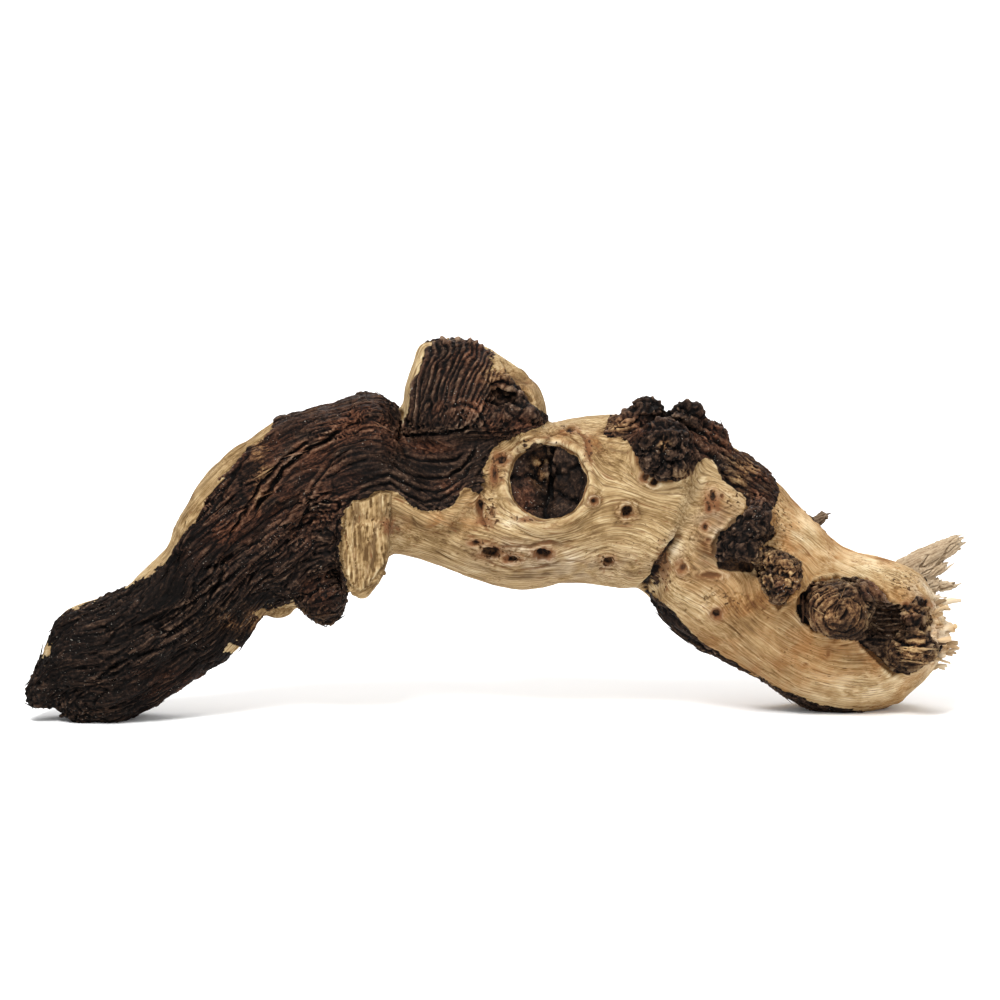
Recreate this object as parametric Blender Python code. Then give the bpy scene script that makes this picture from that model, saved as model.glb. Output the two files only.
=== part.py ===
# Mopani driftwood: one arched limb that rests on its two ends, with a broken stub above the left fork,
# a large knot, burls, a cleft at the right fork, and a splintered dead branch and a twig behind.
# Metres, +Z up. X runs along the arch from the left foot to the right end, and -Y is the front.
# The origin is on the surface that the wood rests on, under the middle of its box.

import math
from collections import namedtuple

import bmesh
import bpy
import numpy as np
from mathutils import Vector, noise

MM = 0.001

# Driving dimensions.
FORK_GAP = 0.3 * MM  # between pieces that meet at a fork
BRANCH_CLEARANCE = 0.48 * MM  # between the right limb and the dead wood that grows out of it
RING_SIDES = 28
RING_STEPS = 3  # rings from one station to the next
SQUARENESS = 2.3  # 2 is an ellipse
FUSE_VOXEL = 1.7 * MM
FUSE_SMOOTHING = 6
WOOD_FACES = 8100

# A station is a section of a limb: its upper and lower points as the front shows them, (x, z),
# the depth of its middle (y), and half of its thickness from front to back. All in millimetres.
Station = namedtuple("Station", "top bottom depth half")

ARCH = [
    Station((-198, 18), (-200, 8), -18, 8),
    Station((-195, 28), (-196, 5), -18, 13),
    Station((-190, 40), (-188, 5), -17, 17),
    Station((-183, 47), (-180, -1), -17, 20),
    Station((-173, 51), (-162, -2), -16, 22),
    Station((-161, 55), (-150, 5), -15, 23),
    Station((-150, 66), (-138, 12), -13, 23),
    Station((-141, 75), (-126, 20), -11, 24),
    Station((-134, 91), (-113, 29), -9, 25),
    Station((-125, 104), (-104, 40), -7, 26),
    Station((-115, 114), (-97, 47), -6, 26),
    Station((-102, 122), (-87, 47), -5, 27),
    Station((-86, 130), (-76, 52), -4, 27),
    Station((-69, 134), (-64, 66), -3, 27),
    Station((-54, 136), (-50, 69), -2, 27),
    Station((-42, 122), (-42, 69), -2, 26),
    Station((-30, 117), (-31, 66), -1, 25),
    Station((-17, 116), (-19, 62), -1, 26),
    Station((-5, 117), (-6, 57), -1, 27),
    Station((8, 121), (7, 54), -1, 28),
    Station((21, 125), (21, 55), 0, 30),
    Station((36, 127), (34, 57), 0, 30),
    Station((51, 128), (47, 55), 0, 30),
    Station((66, 128), (58, 55), 1, 30),
    Station((82, 125), (65, 47), 2, 30),
    Station((96, 116), (75, 36), 3, 31),
    Station((109, 106), (87, 27), 5, 31),
    Station((121, 96), (102, 20), 6, 31),
    Station((132, 85), (117, 10), 7, 31),
    Station((143, 73), (131, 2), 9, 31),
    Station((157, 67), (147, -2), 10, 30),
    Station((171, 63), (161, -1), 11, 28),
    Station((182, 57), (174, 5), 11, 24),
    Station((188, 47), (184, 13), 11, 17),
    Station((190, 37), (189, 24), 11, 9),
]

# The stub rises from the left fork and leans back a little: top is its right side here, bottom its left.
STUB = [
    Station((8, 98), (-42, 98), 0, 20),
    Station((15, 118), (-42, 118), 0, 21),
    Station((19, 126), (-42, 127), 0, 21),
    Station((19, 134), (-41, 135), 0, 20),
    Station((15, 142), (-39, 143), 1, 18),
    Station((7, 149), (-37, 150), 2, 16),
    Station((0, 154), (-35, 155), 3, 13),
    Station((-8, 158), (-33, 158), 3, 10),
    Station((-16, 161), (-27, 160), 3, 6),
]

# Lumps that stand out of the wood: centre (x, y, z) and radii, in millimetres.
Lump = namedtuple("Lump", "centre radii")

LUMPS = {
    "shoulder": Lump((-56, -3, 129), (12, 20, 9)),
    "hanging_lobe": Lump((-76, -15, 52), (10, 10, 11.5)),
    "pale_nub": Lump((-94, -8, 47), (8, 8, 6)),
    "stub_swelling": Lump((9, -7, 131), (10, 16, 12)),
    "stub_lower_lip": Lump((12, -13, 121), (9, 13, 5)),
    "crest_burl_start": Lump((54, -9, 125), (8, 8, 5)),
    "crest_burl_left": Lump((62, -7, 129), (8, 8, 8)),
    "crest_burl_middle": Lump((80, -4, 128), (8, 8, 8)),
    "crest_burl_right": Lump((90, -1, 119), (8, 8, 7)),
    "round_knot": Lump((70, -26, 117), (13, 10, 13)),
    "cleft_burl": Lump((103, -27, 75), (10, 8, 10)),
    "upper_cleft_burl": Lump((111, -22, 87), (8, 8, 8)),
    "peg_burl": Lump((119, -30, 63), (9, 10, 11)),
    "broad_burl": Lump((145, -25, 48), (15, 11, 12)),
    "end_mass": Lump((176, -12, 30), (11, 12, 12)),
    "end_peg": Lump((171, 1, 6), (3, 3, 3.5)),
    "back_burl": Lump((28, 27, 88), (15, 8, 14)),
    "back_shoulder": Lump((-98, 17, 92), (16, 8, 18)),
}

# Splinters of the broken right end, each from a root inside the wood to its tip, (x, y, z) in millimetres.
Spike = namedtuple("Spike", "root tip radius")

END_SPIKES = {
    "end_upper": Spike((180, 11, 44), (194, 11, 46), 3.6),
    "end_middle": Spike((182, 5, 36), (196, 3, 35), 3.6),
    "end_lower": Spike((180, 7, 27), (195, 6, 27), 3.8),
    "end_lowest": Spike((176, 11, 18), (191, 13, 18), 3.4),
}

# The torn branch base that hangs in front of the left fork: its outline as the front shows it (x, z).
TORN_BASE = [
    (-66, 90), (-59, 92), (-48, 93), (-48, 72), (-48.5, 68),
    (-50, 64), (-54, 59), (-58, 53.5), (-63, 55), (-66.5, 64), (-67.5, 76),
]
TORN_BASE_FRONT = -32.5 * MM
TORN_BASE_BACK = -7 * MM

# Hollows in the front or back face: centre (x, z), radii, depth, and the height of the lip around it.
# side is -1 on the front and 1 on the back.
Hollow = namedtuple("Hollow", "centre radii depth lip side")

HOLLOWS = {
    "large_knot": Hollow((20, 103), (17, 17), 8, 2.4, -1),
    "left_pit": Hollow((-9, 89), (4, 6), 2.5, 0.5, -1),
    "left_low_pit": Hollow((-2, 72), (9, 4), 2.5, 0.8, -1),
    "low_pit": Hollow((17, 71), (5, 3.5), 2.5, 0.8, -1),
    "middle_pit": Hollow((54, 89), (4, 4), 2, 1.0, -1),
    "under_knot_pit": Hollow((46, 67), (5, 3.5), 2, 0.8, -1),
    "cleft_shadow": Hollow((112, 66), (12, 4), 5, 0, -1),
    "end_hole": Hollow((165, 42), (9, 8), 9, 0, -1),
    "end_notch": Hollow((184, 40), (4, 5), 5, 0, -1),
    "stub_hole": Hollow((1, 138), (6, 5), 5, 0.8, -1),
    "back_knot": Hollow((-18, 92), (11, 9), 5, 1.8, 1),
    "back_end_hollow": Hollow((140, 40), (12, 9), 5, 1.2, 1),
    "back_foot_hollow": Hollow((-160, 30), (9, 6), 3, 0.8, 1),
}

# Grooves (depth below 0) and rolls (above 0) that follow a line on the front or back face.
Stroke = namedtuple("Stroke", "line width height side")

STROKES = {
    "cleft": Stroke([(86, 104), (80, 86), (74, 72), (66, 58), (63, 50)], 4, -5, -1),
    "trunk_end_roll": Stroke([(76, 96), (70, 80), (62, 66), (54, 60)], 9, 2.5, -1),
    "fold_above_pale_wood": Stroke([
        (-68, 92), (-55, 96), (-45, 96), (-38, 90), (-30, 86), (-22, 88), (-15, 95), (-9, 106),
    ], 5, 3, -1),
    "under_fold": Stroke([(-60, 89), (-45, 91), (-38, 84), (-30, 80), (-20, 82), (-12, 90)], 3.5, -2.5, -1),
    "stub_foot_crease": Stroke([(-43, 122), (-38, 116), (-22, 116), (-8, 120), (6, 120)], 3, -3, -1),
    "stub_second_crease": Stroke([(-42, 110), (-30, 105), (-18, 106), (-10, 112)], 3, -2, -1),
    "long_crack_upper": Stroke([(-60, 128), (-76, 117), (-92, 108), (-104, 93), (-112, 80)], 3.5, -3, -1),
    "long_crack_lower": Stroke([(-72, 112), (-88, 96), (-100, 82), (-116, 70)], 3.5, -2.5, -1),
    "foot_crack": Stroke([(-120, 62), (-138, 48), (-158, 40), (-176, 36)], 3.5, -2, -1),
    "foot_low_crack": Stroke([(-118, 40), (-140, 26), (-160, 18), (-182, 14)], 3.5, -2, -1),
    "knee_hollow": Stroke([(-84, 92), (-80, 78), (-82, 66)], 9, -3, -1),
    "burl_band_edge": Stroke([(86, 116), (98, 106), (108, 98), (112, 90)], 4, -2.5, -1),
    "back_long_crack": Stroke([(150, 52), (112, 66), (70, 90), (30, 112)], 4, -3, 1),
    "back_left_crack": Stroke([(-60, 110), (-100, 84), (-140, 44), (-176, 26)], 4, -3, 1),
    "back_left_roll": Stroke([(-70, 88), (-108, 66), (-140, 34)], 10, 2.5, 1),
}

BOWL_ROUNDNESS = 0.7  # of a hollow: below 1 its floor is flatter and its sides steeper
LIP_PLACE = 1.15  # the crest of a hollow's lip, as a share of the hollow's radius
LIP_WIDTH = 0.16  # and how far the lip spreads to each side of that crest
FACING_GAIN = 1.8  # how soon the carving reaches full depth as the surface turns to the front or back

OUTSET = 0.3 * MM  # makes good what the smoothing of the fused skin takes off
UNDULATION = 1.3 * MM
UNDULATION_SIZE = 24 * MM
UNDULATION_DIMENSION = 0.8  # the lower, the rougher
UNDULATION_LACUNARITY = 2.0
UNDULATION_OCTAVES = 3
FLUTE_DEPTH = 1.4 * MM
FLUTE_MIDDLE = 0.5  # the share of that depth that is taken off on average
FLUTE_GAIN = 2.0  # how strongly the noise raises and sinks the flutes around it
FLUTE_WIDTH = 8 * MM
FLUTE_LENGTH = 60 * MM
FLUTE_EDGE = 14 * MM  # over which the flutes fade out

# Where the dark wood is fluted: a box in the front view, (x, z) to (x, z) in millimetres, and the slope
# of the flutes in degrees.
Fluted = namedtuple("Fluted", "low high slope")

FLUTED = {
    "left_limb": Fluted((-220, -20), (-44, 160), 42),
    "stub": Fluted((-52, 122), (26, 190), 96),
}

# Where the wood is parted at its forks: a straight line in the front view, (x, z) to (x, z) in millimetres.
FORKS = {
    "left_fork": ((-44.6, 131), (-43.6, 60)),
    "stub_fork": ((-42, 118.5), (18.5, 131)),
    "right_fork": ((95, 131), (63.5, 50)),
}

# The splintered dead branch behind the right end: its base, and prongs from root to tip.
BRANCH_BASE = Lump((176, 29, 54), (9, 6, 9))
BRANCH_PRONGS = {
    "long_prong": Spike((172, 29, 55), (198.5, 32, 69.5), 6.2),
    "second_prong": Spike((174, 28, 54), (193, 30, 58), 4.2),
    "third_prong": Spike((176, 28, 51), (197, 29, 50), 3.4),
    "low_prong": Spike((176, 28, 49), (190, 27, 44), 3.2),
}
SPIKE_SIDES = 7
SPIKE_INNER_CORNER = 0.78  # every second corner stands in, so that the rod looks split and not turned

# The radii of a splinter from its root to its tip, as shares of the radius at its root.
END_SPIKE_TAPER = (1, 1, 0.8, 0.55)
PRONG_TAPER = (1, 1, 0.82, 0.6)
TWIG_TAPER = (1, 0.95, 1.0, 0.8)

TWIG = Spike((126, 27, 71), (141, 32, 81), 3.0)

DARK_HEARTWOOD = (0.045, 0.024, 0.015)
PALE_SAPWOOD = (0.50, 0.34, 0.17)
STAINED_SAPWOOD = (0.42, 0.24, 0.10)
GREY_DEADWOOD = (0.53, 0.39, 0.24)


def clear_scene():
    for obj in list(bpy.data.objects):
        bpy.data.objects.remove(obj)


def object_of(name, bm):
    mesh = bpy.data.meshes.new(name)
    bm.to_mesh(mesh)
    bm.free()
    obj = bpy.data.objects.new(name, mesh)
    bpy.context.scene.collection.objects.link(obj)
    return obj


def evaluated_mesh(obj):
    """The object's mesh with its modifiers, as a new mesh. The object is removed."""
    bpy.context.view_layer.update()
    graph = bpy.context.evaluated_depsgraph_get()
    mesh = bpy.data.meshes.new_from_object(obj.evaluated_get(graph))
    bpy.data.objects.remove(obj)
    return mesh


def smooth_rows(rows, steps):
    """Rows of numbers with steps - 1 rows put between neighbours, on a Catmull-Rom spline."""
    rows = np.array(rows, float)
    ends = np.vstack([2 * rows[0] - rows[1], rows, 2 * rows[-1] - rows[-2]])
    made = []
    for i in range(len(rows) - 1):
        a, b, c, d = ends[i : i + 4]
        for t in np.arange(steps) / steps:
            made.append(0.5 * (2 * b + (c - a) * t + (2 * a - 5 * b + 4 * c - d) * t**2
                               + (3 * b - a - 3 * c + d) * t**3))
    made.append(rows[-1])
    return np.array(made)


def rounded(value):
    """A cosine or sine bent from a circle towards a square."""
    return math.copysign(abs(value) ** (2 / SQUARENESS), value)


def add_rings(bm, rings):
    """Skins rows of points with faces, and closes both ends."""
    rows = [[bm.verts.new(point) for point in ring] for ring in rings]
    sides = len(rows[0])
    for low, high in zip(rows, rows[1:]):
        for i in range(sides):
            j = (i + 1) % sides
            bm.faces.new((low[i], low[j], high[j], high[i]))
    bm.faces.new(rows[0][::-1])
    bm.faces.new(rows[-1])


def add_limb(bm, stations):
    rows = smooth_rows([[*s.top, *s.bottom, s.depth, s.half] for s in stations], RING_STEPS)
    rings = []
    for top_x, top_z, bottom_x, bottom_z, depth, half in rows * MM:
        ring = []
        for k in range(RING_SIDES):
            angle = math.tau * k / RING_SIDES
            up = rounded(math.cos(angle)) / 2
            x = (top_x + bottom_x) / 2 + up * (top_x - bottom_x)
            z = (top_z + bottom_z) / 2 + up * (top_z - bottom_z)
            ring.append((x, depth + half * rounded(math.sin(angle)), z))
        rings.append(ring)
    add_rings(bm, rings)


def add_lump(bm, lump):
    made = bmesh.ops.create_icosphere(bm, subdivisions=3, radius=1)
    bmesh.ops.scale(bm, vec=Vector(lump.radii) * MM, verts=made["verts"])
    bmesh.ops.translate(bm, vec=Vector(lump.centre) * MM, verts=made["verts"])


def add_spike(bm, spike, shares):
    """A tapering broken rod. shares are its radii along its length, as shares of its root's."""
    root, tip = Vector(spike.root) * MM, Vector(spike.tip) * MM
    turn = (tip - root).to_track_quat("Z", "Y")
    rings = []
    for i, share in enumerate(shares):
        centre = root.lerp(tip, i / (len(shares) - 1))
        ring = []
        for k in range(SPIKE_SIDES):
            angle = math.tau * k / SPIKE_SIDES
            radius = spike.radius * MM * share * (1 if k % 2 else SPIKE_INNER_CORNER)
            ring.append(centre + turn @ Vector((radius * math.cos(angle), radius * math.sin(angle), 0)))
        rings.append(ring)
    add_rings(bm, rings)


def add_torn_base(bm):
    outline = [bm.verts.new((x * MM, TORN_BASE_FRONT, z * MM)) for x, z in TORN_BASE]
    face = bm.faces.new(outline)
    grown = bmesh.ops.extrude_face_region(bm, geom=[face])
    moved = [v for v in grown["geom"] if isinstance(v, bmesh.types.BMVert)]
    bmesh.ops.translate(bm, vec=(0, TORN_BASE_BACK - TORN_BASE_FRONT, 0), verts=moved)


def fused_mesh():
    """The arch, the stub and all that grows from them, made one closed skin."""
    bm = bmesh.new()
    add_limb(bm, ARCH)
    add_limb(bm, STUB)
    for lump in LUMPS.values():
        add_lump(bm, lump)
    for spike in END_SPIKES.values():
        add_spike(bm, spike, END_SPIKE_TAPER)
    add_torn_base(bm)
    bmesh.ops.recalc_face_normals(bm, faces=bm.faces)
    obj = object_of("wood", bm)
    fuse = obj.modifiers.new("fuse", "REMESH")
    fuse.mode = "VOXEL"
    fuse.voxel_size = FUSE_VOXEL
    soften = obj.modifiers.new("soften", "SMOOTH")
    soften.factor = 0.5
    soften.iterations = FUSE_SMOOTHING
    return evaluated_mesh(obj)


def from_line(x, z, line):
    """How far each point (x, z) is from a line of points, in metres."""
    nearest = np.full(len(x), np.inf)
    for (ax, az), (bx, bz) in zip(line, line[1:]):
        a, d = np.array((ax, az)) * MM, np.array((bx - ax, bz - az)) * MM
        t = np.clip(((x - a[0]) * d[0] + (z - a[1]) * d[1]) / (d @ d), 0, 1)
        nearest = np.minimum(nearest, np.hypot(x - a[0] - t * d[0], z - a[1] - t * d[1]))
    return nearest


def facing(normals, side):
    """1 where a face looks to the front (side -1) or the back (side 1), down to 0 at the edges."""
    return np.clip(side * normals[:, 1] * FACING_GAIN, 0, 1)


def relief_of(points, normals):
    """How far each point is pushed out along its normal, in metres."""
    x, z = points[:, 0], points[:, 2]
    push = np.zeros(len(points))
    for hollow in HOLLOWS.values():
        cx, cz, rx, rz = (value * MM for value in (*hollow.centre, *hollow.radii))
        away = np.hypot((x - cx) / rx, (z - cz) / rz)
        bowl = np.clip(1 - away**2, 0, 1) ** BOWL_ROUNDNESS
        lip = np.exp(-(((away - LIP_PLACE) / LIP_WIDTH) ** 2))
        push += (hollow.lip * lip - hollow.depth * bowl) * MM * facing(normals, hollow.side)
    for stroke in STROKES.values():
        away = from_line(x, z, stroke.line) / (stroke.width * MM)
        push += stroke.height * MM * np.exp(-(away**2)) * facing(normals, stroke.side)
    waves = (UNDULATION_DIMENSION, UNDULATION_LACUNARITY, UNDULATION_OCTAVES)
    push += [UNDULATION * noise.fractal(Vector(p) / UNDULATION_SIZE, *waves) for p in points]
    for fluted in FLUTED.values():
        (low_x, low_z), (high_x, high_z) = fluted.low, fluted.high
        inside = np.min([x - low_x * MM, high_x * MM - x, z - low_z * MM, high_z * MM - z], axis=0)
        share = np.clip(inside / FLUTE_EDGE, 0, 1)
        along = Vector((math.cos(math.radians(fluted.slope)), 0, math.sin(math.radians(fluted.slope))))
        across = Vector((-along.z, 0, along.x))
        for i in np.flatnonzero(share):
            p = Vector(points[i])
            place = Vector((p.dot(along) / FLUTE_LENGTH, p.dot(across) / FLUTE_WIDTH, p.y / FLUTE_WIDTH))
            push[i] -= FLUTE_DEPTH * (FLUTE_MIDDLE - FLUTE_GAIN * abs(noise.noise(place))) * share[i]
    return push + OUTSET


def carve(mesh):
    count = len(mesh.vertices)
    points, normals = np.empty(count * 3, np.float32), np.empty(count * 3, np.float32)
    mesh.vertices.foreach_get("co", points)
    mesh.vertices.foreach_get("normal", normals)
    points, normals = points.reshape(-1, 3), normals.reshape(-1, 3)
    moved = points + normals * relief_of(points, normals)[:, None]
    mesh.vertices.foreach_set("co", moved.astype(np.float32).ravel())
    mesh.update()


def thinned(mesh, faces):
    """The mesh with about that many triangles."""
    obj = bpy.data.objects.new("thinned", mesh)
    bpy.context.scene.collection.objects.link(obj)
    triangles = sum(len(polygon.vertices) - 2 for polygon in mesh.polygons)
    thin = obj.modifiers.new("thin", "DECIMATE")
    thin.ratio = faces / triangles
    thin.use_collapse_triangulate = True
    return evaluated_mesh(obj)


def keep_side(bm, point, normal):
    """Cuts the closed mesh by a plane, keeps the side that the normal points from, and closes the cut."""
    cut = bmesh.ops.bisect_plane(bm, geom=[*bm.verts, *bm.edges, *bm.faces], plane_co=point,
                                 plane_no=normal, clear_outer=True, dist=1e-6)
    rim = [e for e in cut["geom_cut"] if isinstance(e, bmesh.types.BMEdge)]
    made = bmesh.ops.holes_fill(bm, edges=rim, sides=0)
    bmesh.ops.triangulate(bm, faces=made["faces"])


def part_at(bm, fork):
    """Splits a mesh at a fork. Gives back the part on the line's left side, going down it, and the other."""
    (ax, az), (bx, bz) = FORKS[fork]
    start = Vector((ax * MM, 0, az * MM))
    normal = Vector((az - bz, 0, bx - ax)).normalized()
    other = bm.copy()
    keep_side(bm, start - normal * FORK_GAP / 2, normal)
    keep_side(other, start + normal * FORK_GAP / 2, -normal)
    return bm, other


def material_of(name, colour, roughness):
    material = bpy.data.materials.new(name)
    material.use_nodes = True
    shader = material.node_tree.nodes["Principled BSDF"]
    shader.inputs["Base Color"].default_value = (*colour, 1)
    shader.inputs["Roughness"].default_value = roughness
    shader.inputs["Metallic"].default_value = 0
    return material


def finish_node(obj, name, material):
    obj.name = name
    obj.data.name = name
    obj.data.materials.clear()
    obj.data.materials.append(material)


def wood_nodes():
    """The four pieces that the forks part the wood into."""
    mesh = fused_mesh()
    carve(mesh)
    bm = bmesh.new()
    bm.from_mesh(thinned(mesh, WOOD_FACES))
    keep_side(bm, Vector((0, 0, 0)), Vector((0, 0, -1)))
    left, rest = part_at(bm, "left_fork")
    rest, stub = part_at(rest, "stub_fork")
    trunk, right = part_at(rest, "right_fork")
    heartwood = material_of("dark_heartwood", DARK_HEARTWOOD, 0.75)
    sapwood = material_of("pale_sapwood", PALE_SAPWOOD, 0.65)
    stained = material_of("stained_sapwood", STAINED_SAPWOOD, 0.6)
    nodes = {}
    for name, piece, material in (("left_limb", left, heartwood), ("upper_stub", stub, heartwood),
                                  ("trunk", trunk, sapwood), ("right_limb", right, stained)):
        nodes[name] = object_of(name, piece)
        finish_node(nodes[name], name, material)
    return nodes


def clearance_of(obj):
    """A hidden copy of a piece, grown by the clearance, that trims what grows out of it."""
    bm = bmesh.new()
    bm.from_mesh(obj.data)
    for vertex in bm.verts:
        vertex.co += vertex.normal * BRANCH_CLEARANCE
    cutter = object_of(obj.name + "_clearance", bm)
    cutter.hide_render = True
    cutter.display_type = "WIRE"
    return cutter


def trimmed_by(obj, cutter):
    trim = obj.modifiers.new("trim", "BOOLEAN")
    trim.operation = "DIFFERENCE"
    trim.object = cutter


def dead_branch(cutter, material):
    """The grey branch end behind the right limb: prongs joined at their roots."""
    bm = bmesh.new()
    add_lump(bm, BRANCH_BASE)
    branch = object_of("splintered_branch", bm)
    for name, spike in BRANCH_PRONGS.items():
        bm = bmesh.new()
        add_spike(bm, spike, PRONG_TAPER)
        bmesh.ops.recalc_face_normals(bm, faces=bm.faces)
        prong = object_of(name, bm)
        prong.hide_render = True
        prong.display_type = "WIRE"
        join = branch.modifiers.new("join", "BOOLEAN")
        join.operation = "UNION"
        join.object = prong
    finish_node(branch, "splintered_branch", material)
    trimmed_by(branch, cutter)


def dead_twig(cutter, material):
    bm = bmesh.new()
    add_spike(bm, TWIG, TWIG_TAPER)
    bmesh.ops.recalc_face_normals(bm, faces=bm.faces)
    twig = object_of("twig", bm)
    finish_node(twig, "twig", material)
    trimmed_by(twig, cutter)


def main():
    clear_scene()
    nodes = wood_nodes()
    cutter = clearance_of(nodes["right_limb"])
    deadwood = material_of("grey_deadwood", GREY_DEADWOOD, 0.8)
    dead_branch(cutter, deadwood)
    dead_twig(cutter, deadwood)


main()
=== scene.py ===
import math

import bmesh
import bpy
import numpy as np
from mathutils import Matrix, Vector


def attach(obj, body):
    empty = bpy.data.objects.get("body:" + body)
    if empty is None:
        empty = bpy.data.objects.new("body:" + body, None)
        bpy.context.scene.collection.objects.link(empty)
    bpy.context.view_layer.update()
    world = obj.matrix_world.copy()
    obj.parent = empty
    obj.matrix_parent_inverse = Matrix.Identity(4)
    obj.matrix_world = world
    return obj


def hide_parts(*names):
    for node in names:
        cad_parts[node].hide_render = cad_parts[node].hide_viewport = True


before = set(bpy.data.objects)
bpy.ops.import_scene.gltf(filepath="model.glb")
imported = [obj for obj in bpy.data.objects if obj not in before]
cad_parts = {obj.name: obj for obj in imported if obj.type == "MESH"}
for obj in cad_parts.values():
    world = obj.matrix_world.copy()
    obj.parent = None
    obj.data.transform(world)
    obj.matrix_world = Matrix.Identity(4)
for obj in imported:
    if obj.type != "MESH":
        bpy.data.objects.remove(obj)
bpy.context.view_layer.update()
mm = 0.001

# How the photograph sees the wood. Places given further down as (column, row) are in its frame.
photo = {
    "pixels": 1000,         # across the frame, and down it
    "tilt": 8.0,            # degrees, the camera looks down by this
    "distance": 3.0,        # metres
    "width": 0.43,          # metres across the frame at the wood
    "middle": (500, 500),   # column and row of the frame's middle
    "floorRow": 711.5,      # row where the floor under the wood's middle lies
}


def viewAxes():
    tilt = math.radians(photo["tilt"])
    upward = np.array((0, math.sin(tilt), math.cos(tilt)))
    forward = np.array((0, math.cos(tilt), -math.sin(tilt)))
    rise = (photo["floorRow"] - photo["middle"][1]) * photo["width"] / photo["pixels"]
    return upward, forward, upward * rise - forward * photo["distance"]


def seenAt(points):
    # Column and row of each point in the photograph's frame.
    upward, forward, eye = viewAxes()
    away = points - eye
    scale = photo["pixels"] / photo["width"] * photo["distance"] / (away @ forward)
    return photo["middle"][0] + away[:, 0] * scale, photo["middle"][1] - (away @ upward) * scale


# Noise

dice = np.random.default_rng(11)
shuffled = dice.permutation(256).astype(np.int32)
leanX, leanY, leanZ = dice.normal(size=(3, 256)).astype(np.float32)
leanings = np.sqrt(leanX ** 2 + leanY ** 2 + leanZ ** 2)
leanX, leanY, leanZ = leanX / leanings, leanY / leanings, leanZ / leanings


def noise(places, seed=0):
    # Gradient noise, about -1 to 1, one bump to a unit.
    columns = np.ascontiguousarray(places.T, dtype=np.float32)
    cell = np.floor(columns).astype(np.int32)
    x, y, z = columns - cell
    i, j, k = cell
    eases = [t * t * t * (t * (t * 6 - 15) + 10) for t in (x, y, z)]
    total = np.zeros(len(places), np.float32)
    for dx in (0, 1):
        wx = eases[0] if dx else 1 - eases[0]
        kx = shuffled[(i + (dx + seed * 37)) & 255]
        for dy in (0, 1):
            wy = wx * (eases[1] if dy else 1 - eases[1])
            ky = shuffled[(kx + j + (dy + seed)) & 255]
            for dz in (0, 1):
                wz = wy * (eases[2] if dz else 1 - eases[2])
                at = shuffled[(ky + k + dz) & 255]
                total += wz * ((x - dx) * leanX[at] + (y - dy) * leanY[at] + (z - dz) * leanZ[at])
    return total * 1.6


def layered(places, layers, seed=0, gain=0.5):
    total, weight, strength = np.zeros(len(places)), 1.0, 0.0
    for i in range(layers):
        total += weight * noise(places * 2.03 ** i, seed + i * 5)
        strength += weight
        weight *= gain
    return total / strength


def crests(places, layers, seed=0):
    # Noise with sharp crests, 0 to 1.
    total, weight, strength = np.zeros(len(places)), 1.0, 0.0
    for i in range(layers):
        total += weight * (1 - np.abs(noise(places * 2.1 ** i, seed + i * 7))) ** 2
        strength += weight
        weight *= 0.5
    return total / strength


def cracks(places, width, seed=0):
    # 1 along thin winding lines, 0 away from them.
    return np.exp(-(noise(places, seed) / width) ** 2)


def plates(places, seed):
    # Cells a unit wide: how far from the border between two, 0 on it, and a chance value for each cell.
    cell = np.floor(places).astype(np.int32)
    first, second, chance = np.full(len(places), 9.0), np.full(len(places), 9.0), np.zeros(len(places))
    for step in np.ndindex(3, 3, 3):
        i, j, k = (cell + step - 1).T
        at = shuffled[(shuffled[(shuffled[(i + seed) & 255] + j) & 255] + k) & 255]
        middle = np.stack([i + 0.34 * leanX[at], j + 0.34 * leanY[at], k + 0.34 * leanZ[at]], 1) + 0.5
        away = np.linalg.norm(places - middle, axis=1)
        closer = away < first
        second = np.where(closer, first, np.minimum(second, away))
        first, chance = np.where(closer, away, first), np.where(closer, at / 255, chance)
    return second - first, chance


def ramp(value, low, high):
    t = np.clip((value - low) / (high - low), 0, 1)
    return t * t * (3 - 2 * t)


def steps(value):
    # A saw whose rise is slow and whose fall is sudden, like torn layers.
    t = value - np.floor(value)
    return np.where(t < 0.85, t / 0.85, (1 - t) / 0.15)


# Outlines and lines in the photograph

def insideBy(column, row, outline):
    # How far inside an outline each place is, in pixels; below 0 outside.
    nearest = np.full(len(column), np.inf)
    inside = np.zeros(len(column), bool)
    for (ax, ay), (bx, by) in zip(outline, outline[1:] + outline[:1]):
        span = (bx - ax) ** 2 + (by - ay) ** 2
        t = np.clip(((column - ax) * (bx - ax) + (row - ay) * (by - ay)) / span, 0, 1)
        nearest = np.minimum(nearest, np.hypot(column - ax - t * (bx - ax), row - ay - t * (by - ay)))
        if ay != by:
            inside ^= ((ay > row) != (by > row)) & (column < (bx - ax) * (row - ay) / (by - ay) + ax)
    return np.where(inside, nearest, -nearest)


def besideLine(column, row, line):
    # Distance from a line in pixels, and how far along it, 0 to 1.
    nearest = np.full(len(column), np.inf)
    along, covered = np.zeros(len(column)), 0.0
    for (ax, ay), (bx, by) in zip(line, line[1:]):
        length = math.hypot(bx - ax, by - ay)
        t = np.clip(((column - ax) * (bx - ax) + (row - ay) * (by - ay)) / length ** 2, 0, 1)
        away = np.hypot(column - ax - t * (bx - ax), row - ay - t * (by - ay))
        closer = away < nearest
        nearest = np.where(closer, away, nearest)
        along = np.where(closer, covered + t * length, along)
        covered += length
    return nearest, along / covered


# The skin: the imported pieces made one, without their facets

skin = {
    "nodes": ("left_limb", "upper_stub", "trunk", "right_limb"),
    "grow": 0.25 * mm,      # closes the gaps at the forks
    "voxel": 1.5 * mm,
    "relaxing": 10,
}


def newObject(name, mesh):
    made = bpy.data.objects.new(name, mesh)
    bpy.context.scene.collection.objects.link(made)
    return made


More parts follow.
